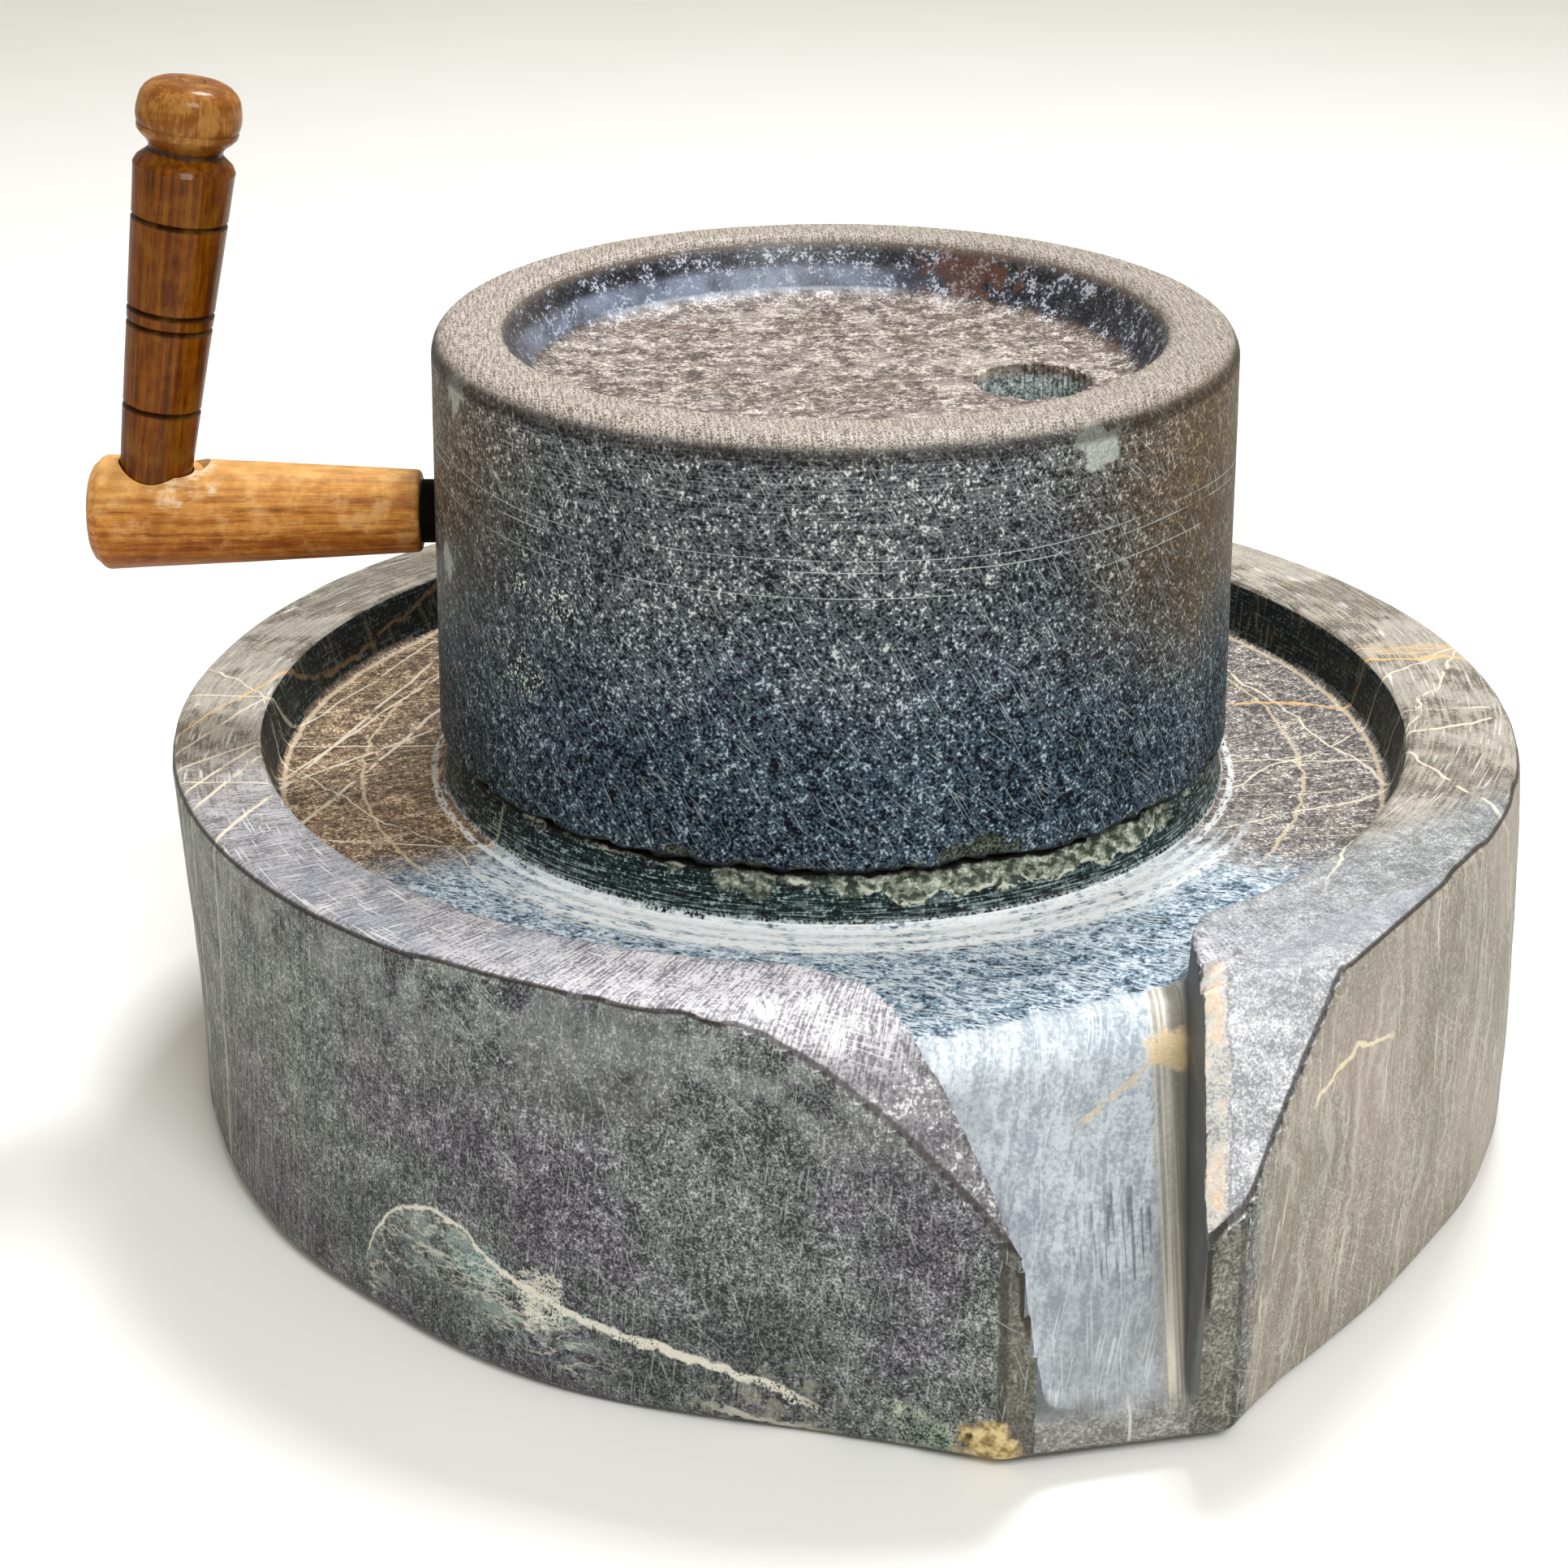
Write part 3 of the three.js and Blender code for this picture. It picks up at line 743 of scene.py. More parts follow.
lower_stone = piece("dressed_lower_stone", base, "lower_stone", "base", 38)
runner_stone = piece("dressed_runner_stone", runner, "runner_stone", "runner", 38)
steel_shank = piece("steel_shank", shank, "arm_shank", "runner")
wooden_arm = piece("turned_arm", arm, "crank_arm", "runner")
wooden_grip = piece("turned_grip", grip, "grip", "runner")
for made in (lower_stone, runner_stone, steel_shank, wooden_arm, wooden_grip):
    print(made.name, "has", len(made.data.polygons), "faces")

# %% [markdown]
# ## Finishes as formulas
# A procedural finish is a graph of nodes, and a graph is easier to read as a formula. A Wire is one
# node's output that can be added and multiplied like a number. A Finish holds one material's graph and
# the few patterns that stone and wood need. A mask is any formula that runs from 0 to 1, and over() lays
# a paint on a colour where a mask says, so a finish is built up in layers as a painter would. All
# patterns are measured in millimetres from the piece's own Object coordinates, so a fleck is as big as a
# real one, and nothing slides when the runner turns.

# %% The finish builder
GRAIN_RELIEF = 0.16  # how many mm the stone's grains stand proud


class Wire:
    """One output of a node."""

    def __init__(self, finish, socket):
        self.finish, self.socket = finish, socket

    def __add__(self, other):
        return self.finish.math("ADD", self, other)

    def __sub__(self, other):
        return self.finish.math("SUBTRACT", self, other)

    def __rsub__(self, other):
        return self.finish.math("SUBTRACT", other, self)

    def __mul__(self, other):
        return self.finish.math("MULTIPLY", self, other)

    def __abs__(self):
        return self.finish.math("ABSOLUTE", self)

    def __neg__(self):
        return self * -1.0

    __radd__, __rmul__ = __add__, __mul__


class Finish:
    """One material, whose nodes are written as formulas."""

    def __init__(self, name):
        self.material = bpy.data.materials.new(name)
        self.material.use_nodes = True
        self.tree = self.material.node_tree
        self.tree.nodes.clear()
        self.noises = {}
        own = Wire(self, self.node("ShaderNodeTexCoord").outputs["Object"])
        scaled = self.node("ShaderNodeVectorMath", {0: own, "Scale": 1 / MM}, operation="SCALE")
        self.place = Wire(self, scaled.outputs[0])
        self.x, self.y, self.z = self.split(self.place)

    def node(self, kind, plugs=(), **settings):
        node = self.tree.nodes.new(kind)
        for key, value in settings.items():
            setattr(node, key, value)
        for key, value in dict(plugs).items():
            if isinstance(value, Wire):
                self.tree.links.new(value.socket, node.inputs[key])
            else:
                node.inputs[key].default_value = value
        return node

    def math(self, operation, *values):
        return Wire(self, self.node("ShaderNodeMath", enumerate(values), operation=operation).outputs[0])

    def most(self, *masks):
        """The greatest of several masks."""
        return reduce(lambda first, second: self.math("MAXIMUM", first, second), masks)

    def capped(self, value):
        """At most 1, for masks that were added and may overlap."""
        return self.math("MINIMUM", value, 1.0)

    def split(self, vector):
        node = self.node("ShaderNodeSeparateXYZ", {0: vector})
        return [Wire(self, output) for output in node.outputs]

    def join(self, x, y, z):
        return Wire(self, self.node("ShaderNodeCombineXYZ", {0: x, 1: y, 2: z}).outputs[0])

    def mapped(self, vector, **plugs):
        plugs = {"Vector": vector, **{key.capitalize(): value for key, value in plugs.items()}}
        return Wire(self, self.node("ShaderNodeMapping", plugs).outputs[0])

    def noise(self, where, scale, detail=2.0, roughness=0.5):
        """A noise from 0 to 1. One that is asked for again is shared, which keeps the render quick."""
        key = (where, scale, detail, roughness)
        if key not in self.noises:
            plugs = {"Vector": where, "Scale": scale, "Detail": detail, "Roughness": roughness}
            self.noises[key] = Wire(self, self.node("ShaderNodeTexNoise", plugs).outputs[0])
        return self.noises[key]

    def mottle(self, scale, detail=3.0, roughness=0.6):
        """A noise in the piece's own space. Its flecks are about 1 / scale mm wide."""
        return self.noise(self.place, scale, detail, roughness)

    def above(self, value, low, high):
        """0 below low and 1 above high, eased in between."""
        plugs = {"Value": value, "From Min": low, "From Max": high}
        return Wire(self, self.node("ShaderNodeMapRange", plugs, interpolation_type="SMOOTHSTEP").outputs[0])

    def below(self, value, low, high):
        """1 below low and 0 above high."""
        return 1 - self.above(value, low, high)

    def line(self, value, width):
        """1 where the value is zero, fading out to 0 at the width."""
        return self.below(abs(value), width * 0.35, width)

    def blend(self, share, first, second, kind="MIX"):
        """Two colours mixed by a mask. A colour is a Wire, or red, green and blue from 0 to 255."""
        first, second = [tone(*color) if isinstance(color, tuple) else color for color in (first, second)]
        node = self.node("ShaderNodeMix", {0: share, 6: first, 7: second}, data_type="RGBA", blend_type=kind)
        return Wire(self, node.outputs[2])

    def over(self, color, mask, *paint):
        """Lays a paint over a colour where the mask says."""
        return self.blend(mask, color, paint)

    def stain(self, color, mask, *paint):
        """Darkens a colour with a paint, as a wash does."""
        return self.blend(mask, color, paint, "MULTIPLY")

    def painted(self, name):
        return Wire(self, self.node("ShaderNodeAttribute", attribute_name=name).outputs["Fac"])

    def spot(self, centre, radius, ragged=0.5):
        """A ragged patch round a place."""
        apart = self.node("ShaderNodeVectorMath", {0: self.place, 1: centre}, operation="DISTANCE")
        wander = (self.mottle(0.25, 3.0, 0.5) - 0.5) * (radius * 4 * ragged)
        return self.below(Wire(self, apart.outputs["Value"]) + wander, radius * 0.6, radius)

    def spots(self, *spots):
        """Several spots, each given as (centre, radius, raggedness)."""
        return reduce(add, [self.spot(*spot) for spot in spots])

    def drawn_out(self, across, up, angle, length, gap, seed, detail=0.0):
        """A noise on a flat chart, stretched along an angle."""
        turn = math.radians(angle)
        along = across * math.cos(turn) + up * math.sin(turn)
        aside = up * math.cos(turn) - across * math.sin(turn)
        return self.noise(self.join(along * (1 / length), aside * (1 / gap), seed), 1.0, detail, 0.6)

    def scratches(self, across, up, angle, length, gap, seed=0.0, share=0.5):
        """Thin straight scratches: only the peaks of a long thin noise, in loose groups."""
        peaks = self.drawn_out(across, up, angle, length, gap, seed)
        groups = self.drawn_out(across, up, angle, length * 1.4, gap * 9, seed + 9)
        return self.above(peaks, 0.74 - share * 0.16, 0.8 - share * 0.16) * self.above(groups, 0.4, 0.56)

    def hatched(self, across, up, *kinds):
        """Several kinds of scratches, each given as (angle, length, gap, seed, share)."""
        return self.most(*[self.scratches(across, up, *kind) for kind in kinds])

    def brushed(self, across, up, angle, length, gap, seed=0.0):
        """Streaks, as a brush or a turning tool leaves."""
        return self.drawn_out(across, up, angle, length, gap, seed, 2.0)

    def along_curve(self, value, start, end, points, top):
        """A height read from a curve that is drawn through (value, height) points."""
        node = self.node("ShaderNodeFloatCurve", {"Value": (value - start) * (1 / (end - start))})
        curve = node.mapping.curves[0]
        for place, height in points:
            spot = ((place - start) / (end - start), height / top)
            if 0 < spot[0] < 1:
                curve.points.new(*spot)
        curve.points[0].location = (0, points[0][1] / top)
        curve.points[-1].location = (1, points[-1][1] / top)
        node.mapping.update()
        return Wire(self, node.outputs[0]) * top

    def vein(self, facing, offset, width, wobble=3.0, pitch=0.04):
        """A sheet of mineral through the stone: a wavy plane, by its direction and its distance in mm."""
        facing = Vector(facing).normalized()
        plane = self.x * facing.x + self.y * facing.y + self.z * facing.z - offset
        wave = (self.mottle(pitch, 3.0, 0.55) - 0.5) * (4 * wobble)
        return self.line(plane + wave, width)

    def veins(self, rows):
        return reduce(add, [self.vein(*row) for row in rows])

    def ground(self, dark, middle, pale, lift=0.0, fine=1.3):
        """Granular stone: dark and middling grains and a scatter of pale specks. Also returns its height."""
        grains = self.mottle(fine, 1.0)
        mixed = grains * 0.65 + self.mottle(fine * 0.36, 1.0, 0.5) * 0.35 + lift
        color = self.blend(self.above(mixed, 0.41, 0.53), dark, middle)
        return self.blend(self.above(mixed, 0.57, 0.65), color, pale), grains

    def bearing(self):
        """The angle round the axis, with its seam at the back."""
        return self.math("ARCTAN2", self.x, -self.y)

    def from_axis(self):
        return self.math("SQRT", self.x * self.x + self.y * self.y)

    def done(
        self, color, roughness, height, relief=GRAIN_RELIEF, specular=0.5, coat=0.0, coat_roughness=0.03
    ):
        """Joins the shader: relief is how many mm the height stands for."""
        bump = self.node("ShaderNodeBump", {"Height": height, "Distance": relief * MM, "Strength": 1.0})
        plugs = {"Base Color": color, "Roughness": roughness, "Normal": Wire(self, bump.outputs[0])}
        plugs.update({"Specular IOR Level": specular, "Coat Weight": coat, "Coat Roughness": coat_roughness})
        shader = self.node("ShaderNodeBsdfPrincipled", plugs)
        self.node("ShaderNodeOutputMaterial", {"Surface": Wire(self, shader.outputs[0])})
        print("finish", self.material.name, "has", len(self.tree.nodes), "nodes")
        return self.material


def tone(red, green, blue):
    """A colour mixed in steps from 0 to 255, as the linear values a shader works with."""
    steps = [c / 255 for c in (red, green, blue)]
    return (*[c / 12.92 if c <= 0.04045 else ((c + 0.055) / 1.055) ** 2.4 for c in steps], 1.0)


# %% [markdown]
# ## Dark stone of the runner
# The drum's side is a fine salt-and-pepper stone: near-black blue-grey with pale specks under a millimetre
# across. It is navy low down, and browner and paler near the rim. Thin slanting scratches cross it, with
# three long fine ones running round it, and a few pale patches. The rim is rubbed to a warm grey satin. Two
# noises, one finer than a millimetre and one a few millimetres wide, are added and cut off sharply, which
# gives crisp specks in loose clusters.

# %% The drum's finish
def drum_finish():
    f = Finish("runner_drum")
    around = f.bearing() * 100.0
    cloud = f.mottle(0.035, 2.0, 0.5)
    drift = cloud - 0.5
    upper = f.above(f.z + drift * 60.0, 118, 190)
    dark = f.blend(upper, (5, 10, 20), (20, 22, 26))
    middle = f.blend(upper, (67, 83, 96), (90, 94, 97))
    pale = f.blend(upper, (176, 190, 198), (204, 206, 202))
    color, grains = f.ground(dark, middle, pale, drift * 0.15)
    # turning marks and a brown cast near the rim
    turning = f.brushed(around, f.z, 1, 12, 0.5, 4.0)
    turned_zone = f.above(f.z, 168, 190) * f.above(turning, 0.52, 0.66)
    color = f.over(color, turned_zone * 0.4, 164, 168, 168)
    high = f.above(f.z + drift * 30.0, 118, 165)
    # brown stone on the right, and a painted warm reflection on the upper left
    brown_and_reflection = f.above(f.x, 10, 74) * 0.9 + f.above(f.x * -0.94 + f.y * 0.34, 60, 93) * 0.5
    color = f.stain(color, brown_and_reflection * high, 200, 162, 114)
    color = f.over(color, brown_and_reflection * high * 0.3, 120, 92, 50)
    # scratches, and three long ones round the drum
    slants = f.hatched(around, f.z, (-62, 11, 0.4, 3.0, 0.4), (-40, 9, 0.4, 8.0, 0.3))
    color = f.over(color, slants * 0.6, 160, 168, 170)
    bow = f.z + (f.noise(f.join(around * 0.01, 0.0, 0.0), 1.0, 0.0) - 0.5) * 16.0 + around * 0.012
    rings = f.line(bow - 170.5, 0.2) + f.line(bow - 173.2, 0.15) + f.line(bow - 164.5, 0.15)
    rings = rings * f.above(f.noise(f.join(around * 0.03, f.z * 0.2, 3.0), 1.0, 1.0), 0.4, 0.52)
    color = f.over(color, rings * 0.75, 186, 192, 190)
    # rubbed patches and bright nicks
    patches = f.spots(((31.9, -94.8, 194.0), 7.5), ((-98.4, -13.0, 195.0), 6.0), ((-98.6, -4.0, 150.5), 5.0))
    color = f.over(color, patches * 0.6 + f.above(grains, 0.4, 0.6) * patches * 0.2, 176, 184, 176)
    nicks = f.spots(
        ((-84.0, -54.0, 155.0), 5.0), ((-91.0, -42.0, 157.0), 3.0), ((-90.5, -43.0, 134.0), 6.0, 0.7)
    )
    color = f.over(color, nicks * f.above(grains, 0.56, 0.6) * 0.9, 216, 222, 210)
    # the satin rim, then what is broken, and painted shade and dirt in the gap under the runner
    top = f.above(f.z, 196.8, 200.6)
    rubbed = f.brushed(f.x, f.y, 78, 6.0, 0.6, 2.0) * 0.4 + f.mottle(2.2, 1.0) * 0.6
    satin = f.blend(f.above(rubbed, 0.4, 0.6), (102, 90, 82), (202, 192, 182))
    satin = f.over(satin, f.above(f.x, -100, 90) * 0.25, 118, 112, 102)
    color = f.blend(top, color, satin)
    lip = f.line(f.z - 197.0, 2.6) * 0.6
    color = f.over(color, lip, 34, 27, 24)
    broken = f.blend(f.above(grains, 0.42, 0.6), (40, 46, 40), (112, 118, 100))
    color = f.blend(f.painted("chipped") * 0.85, color, broken)
    # painted shade, with some dirt, in the gap where the runner meets the bed
    gap_shade_and_dirt = f.below(f.z + (cloud - grains) * 2.0, 98.2, 99.8)
    color = f.over(color, gap_shade_and_dirt, 8, 8, 7)
    return f.done(color, 0.55 - top * 0.13, grains, specular=0.12)


# %% [markdown]
# ## The hopper dish
# The dish's wall is dark, a little bluish and polished; a brighter bluish reflection is painted on it at the
# back, with a painted highlight line along its foot. Its floor is a mottled taupe with fine pale squiggles,
# and pale where the feed hole's edge has chipped. A level line of a noise, drawn thin, makes such squiggles.

# %% The dish's finish
def dish_finish():
    f = Finish("runner_dish")
    cloud = f.mottle(0.06)
    patch = f.mottle(0.2)
    ragged = patch - 0.5
    taupe, grains = f.ground((62, 50, 46), (132, 118, 110), (200, 190, 184), ragged * 0.5)
    taupe = f.over(taupe, f.above(cloud, 0.5, 0.66) * 0.3, 202, 188, 182)
    taupe = f.over(taupe, f.below(cloud, 0.36, 0.48) * 0.45, 104, 82, 70)
    squiggles = f.line(f.mottle(0.3, 2.0) - 0.5, 0.028) * f.above(patch, 0.42, 0.56)
    taupe = f.over(taupe, squiggles * 0.7, 230, 222, 214)
    # the dish's dark polished wall, with a painted reflection and a painted highlight at the back
    lift = ragged * 0.6 + (cloud - 0.5) * 0.3
    slate, _ = f.ground((16, 18, 26), (62, 66, 78), (184, 190, 202), lift)
    # painted bluish reflection in a band at the back of the dish's wall
    wall_reflection = f.line(f.z - RUNNER_BOTTOM - 93.5, 4.0) * f.above(f.y - f.x * 0.35, 34, 72)
    slate = f.over(slate, wall_reflection * (f.above(cloud, 0.4, 0.6) * 0.4 + 0.25), 150, 162, 188)
    # painted highlight line along the foot of the dish's back wall
    foot_highlight = f.line(f.z - RUNNER_BOTTOM - 90.4, 1.3) * f.above(f.y, 56, 70) * f.below(f.x, 36, 46)
    slate = f.over(slate, foot_highlight * 0.5, 214, 222, 236)
    slate = f.over(slate, f.spot((60.0, 58.0, 194.0), 15.0, 0.6) * 0.6, 104, 66, 46)
    slate = f.over(slate, f.above(-f.x - f.y * 0.4, 20, 66) * 0.4, 96, 88, 80)
    # the floor, the outer lip, the chipped edge and the bore
    floor = f.below(f.z + ragged * 3.0, RUNNER_BOTTOM + 89.0, RUNNER_BOTTOM + 91.6)
    color = f.blend(floor, slate, taupe)
    outer = f.above(f.z, RUNNER_BOTTOM + 99.5, RUNNER_BOTTOM + 102.5)
    color = f.over(color, outer * 0.8, 120, 108, 96)
    halo = f.spot((49.0, -2.5, 186.0), 20.0) * f.below(f.x + f.y, 36, 50)
    color = f.over(color, halo * 0.3 + f.painted("chipped") * 0.6, 204, 194, 178)
    bore = f.below(f.z, RUNNER_BOTTOM + 84.5, RUNNER_BOTTOM + 87.0)
    speckled, _ = f.ground((86, 96, 98), (172, 182, 180), (236, 240, 236))
    color = f.blend(bore, color, speckled)
    return f.done(color, 0.4 + floor * 0.14, grains, specular=0.45)


# %% [markdown]
# ## The lower stone
# All its surfaces share their mineral veins, thin cream and ochre sheets that run through the block, so one
# helper draws them as wavy planes that every finish cuts in the same places. The ground colour, the specks
# and the tool marks differ from surface to surface.

# %% Veins
# Each vein is a direction that its plane faces, a distance from the origin, a width and a wobble, all in mm.
CREAM_LEFT = (
    ((-0.81, 0.59, 0.1), 133.5, 0.7, 0.7), ((-0.79, 0.61, 0.1), 116.8, 0.8, 0.9),
    ((-0.73, 0.68, 0.1), 143.1, 0.5, 1.0), ((-0.74, 0.67, 0.1), 128.8, 0.6, 0.8),
    ((-0.47, 0.88, 0.1), 94.5, 0.6, 0.8), ((0.3, 0.95, 0.1), 13.3, 0.5, 1.2),
    ((0.39, 0.92, 0.1), -55.5, 0.5, 1.5), ((-0.9, -0.42, 0.1), 118.0, 0.4, 4.0),
)
CREAM_RIGHT = (
    ((0.12, -0.99, 0.1), 89.0, 0.7, 2.5), ((-0.42, 0.9, 0.2), -65.0, 0.5, 2.5),
    ((0.99, 0.08, 0.3), 144.0, 0.6, 3.0), ((0.77, -0.63, 0.1), 152.0, 0.5, 4.0),
    ((0.28, 0.95, 0.1), 2.0, 0.6, 3.0),
)


def pale_veins(f):
    """Cream and ochre veins, as one mask for each, by the side of the stone that they run in."""
    left, right = f.below(f.x, -76, -62), f.above(f.x, 66, 84)
    cream = left * f.veins(CREAM_LEFT) + right * f.veins(CREAM_RIGHT)
    ochre = f.vein((0.35, 0.93, 0.12), 51.0, 1.1, 4.0) * right
    ochre = ochre + f.vein((-0.73, 0.68, 0.3), 163.0, 0.5, 2.0) * left
    broken = f.above(f.mottle(0.12, 4.0, 0.65), 0.36, 0.48)
    return f.capped(cream) * broken, f.capped(ochre) * broken


# %% [markdown]
# ## The outer wall
# The wall is a mottled grey with a mauve cast, tan and streaked on the right flank. Low on the front left a
# cream vein climbs, turns and runs down to the nose over cracked, pale green mineral, and there is an ochre
# and green patch where the nose's foot has broken. Veins and streaks that follow the wall are drawn on a
# chart of bearing and height.

# %% The wall's finish
def wall_finish():
    f = Finish("stone_wall")
    around = f.bearing() * 174.0
    cloud = f.mottle(0.024, 3.0, 0.55)
    drift = cloud - 0.5
    patch = f.mottle(0.1)
    ragged = patch - 0.5
    lift = ragged * 0.3
    mauve, grains = f.ground((40, 39, 45), (104, 102, 109), (172, 173, 178), lift, 1.7)
    green, _ = f.ground((40, 46, 44), (106, 112, 110), (170, 178, 174), lift, 1.7)
    color = f.blend(f.above(cloud, 0.42, 0.58), green, mauve)
    high = f.above(f.z, 56, 92) * f.above(cloud + patch, 0.88, 1.1)
    color = f.over(color, high * 0.3, 154, 162, 154)
    low = f.below(f.z + drift * 30.0, 18, 44) * f.below(f.x, -70, -30)
    color = f.stain(color, low * 0.5, 168, 168, 172)
    blotch = f.spots(((-103.0, -141.0, 75.0), 6.0, 0.9), ((-112.0, -134.0, 84.0), 4.0, 0.9))
    color = f.over(color, blotch * 0.4, 34, 42, 34)
    streaks = f.brushed(around, f.z, 82, 26, 0.9, 4.0)
    far_left = f.below(around, -235, -150)
    color = f.over(color, far_left * f.above(streaks, 0.46, 0.62) * 0.4, 168, 162, 150)
    # the tan right flank
    back = f.above(f.y, -40, 110)
    right = f.above(f.x + drift * (back * 90.0 + 16.0), back * -60.0 + 27.0, back * 60.0 + 34.0)
    veils = f.brushed(around + drift * 36.0 + ragged * 5.0, f.z, 80, 60, 4.5, 14.0)
    tan, _ = f.ground((124, 119, 110), (154, 148, 136), (186, 180, 168), (streaks - 0.5) * 0.4, 1.7)
    tan = f.over(tan, f.above(cloud, 0.46, 0.62) * 0.4, 182, 164, 156)
    tan = f.over(tan, f.below(cloud, 0.38, 0.5) * 0.4, 128, 122, 106)
    tan = f.over(tan, f.below(veils, 0.38, 0.52) * 0.3, 116, 108, 94)
    tan = f.over(tan, f.above(veils, 0.52, 0.68) * 0.35, 202, 200, 186)
    tan = f.over(tan, f.scratches(around + ragged * 5.0, f.z, 82, 22, 1.2, 6.0, 0.3) * 0.6, 222, 216, 198)
    hook = f.line(abs(f.x - 66.0) * 0.35 + f.z - 76.0 + ragged * 9.0, 1.0)
    hook = hook * f.above(f.x, 48, 52) * f.below(f.x, 76, 82)
    tan = f.over(tan, hook * 0.8, 232, 220, 186)
    color = f.blend(right, color, tan)
    # the nose's foot and its edges
    nose = f.below(abs(f.x), 26.4, 27.6) * f.below(f.y, -190, -186)
    foot_tone, _ = f.ground((80, 78, 72), (116, 113, 104), (154, 151, 142), lift)
    foot_tone = f.over(foot_tone, f.below(f.x, -14, 10) * 0.4, 50, 46, 38)
    color = f.blend(nose, color, foot_tone)
    edge = f.line(abs(f.x) - 26.0, 1.3) * f.below(f.y, -192, -188)
    color = f.over(color, edge * 0.6, 44, 40, 36)
    # tool marks and veins all over
    slants = f.hatched(
        around, f.z, (-38, 30, 0.5, 2.0, 0.15), (-72, 12, 0.5, 6.0, 0.3), (84, 9, 0.5, 16.0, 0.4)
    )
    color = f.over(color, slants * 0.4, 182, 188, 184)
    cream, _ = pale_veins(f)
    color = f.over(color, cream * 0.5, 210, 202, 182)
    # the cream vein that climbs and turns, and the cracked green mineral under it
    wave = f.mottle(0.14, 4.0, 0.7) - 0.5
    climb = [
        (-176, 4), (-172, 19), (-166, 28), (-158, 34), (-150, 37), (-142, 36), (-134, 31), (-126, 27),
        (-115, 23.5), (-96, 19), (-80, 15.5), (-66, 12), (-55, 6), (-46, 1),
    ]
    ridge = f.z - f.along_curve(around, -176.0, -46.0, climb, 40.0) + wave * 6.0
    there = f.above(around, -175, -172) * f.below(around, -66, -52)
    swelling = f.above(around, -140, -100) * 0.5 + wave * 1.6
    band = f.below(abs(ridge) - swelling, 0.2, 1.0) * f.above(grains * 0.4 + patch * 0.6, 0.36, 0.46)
    cracked = f.line(f.noise(f.join(around * 0.09, f.z * 0.2, 5.0), 1.0, 3.0, 0.65) - 0.5, 0.03)
    body = f.above(-ridge, 0.0, 2.0) * f.below(-ridge, 13, 20) * f.below(around, -116, -96)
    second = f.line(f.z - 4.0 + (around + 75.0) * 0.1 + wave * 9.0, 1.2) * f.above(around, -90, -72)
    blot = f.spot((-110.0, -134.0, 24.0), 9.0, 0.6) * f.above(grains * 0.5 + patch * 0.5, 0.44, 0.52)
    whites = f.capped(band + cracked * body * 0.5 + second * 0.7 + blot * 0.7)
    leafy = f.above(f.noise(f.join(around * 0.07, f.z * 0.2, 2.0), 1.0, 3.0, 0.65), 0.46, 0.6)
    color = f.over(color, body * leafy * there * 0.45, 160, 178, 170)
    turquoise = f.spots(((-122.0, -122.0, 27.0), 8.0, 0.7), ((-106.3, -136.5, 22.5), 7.0, 0.7))
    color = f.over(color, turquoise * f.above(grains, 0.34, 0.56) * 0.6, 160, 190, 182)
    color = f.over(color, whites * there * 0.9, 226, 222, 208)
    # the broken foot, green and ochre
    rim_of_foot = f.spot((-75.0, -178.0, 2.0), 22.0) * f.above(patch, 0.4, 0.56)
    color = f.over(color, rim_of_foot * 0.5, 160, 160, 144)
    mineral = f.spot((-43.0, -190.0, 7.0), 12.0, 0.3) * f.below(f.z + f.x * 0.5, -10, -6)
    greenish = f.blend(f.above(patch, 0.4, 0.6), (140, 156, 136), (196, 204, 182))
    color = f.blend(mineral * f.above(grains + patch, 0.8, 1.05) * 0.8, color, greenish)
    rust = f.spot((-29.0, -195.0, 6.0), 8.5, 0.4)
    rusty = f.blend(f.above(f.mottle(0.3), 0.36, 0.6), (138, 108, 54), (224, 204, 148))
    color = f.blend(rust * 0.9, color, rusty)
    hollow = f.spot((-34.0, -194.0, 5.5), 4.4, 0.7)
    color = f.over(color, hollow, 46, 34, 14)
    # fresh chips, and a dark line along the edge
    broken = f.painted("chipped")
    color = f.over(color, broken * 0.3 * (1 - mineral), 150, 146, 136)
    dark_edge_line = f.line(f.painted("border"), 0.5) * f.above(f.z, 30, 38)
    color = f.over(color, dark_edge_line * 0.9, 36, 27, 22)
    return f.done(color, 0.62, grains, 0.22, specular=0.35)


# %% [markdown]
# ## The rim and the arms
# The top faces were rubbed flat and are scored all over by short fine strokes that run in and out. They are
# grey with a lilac cast in front, warmer at the sides.

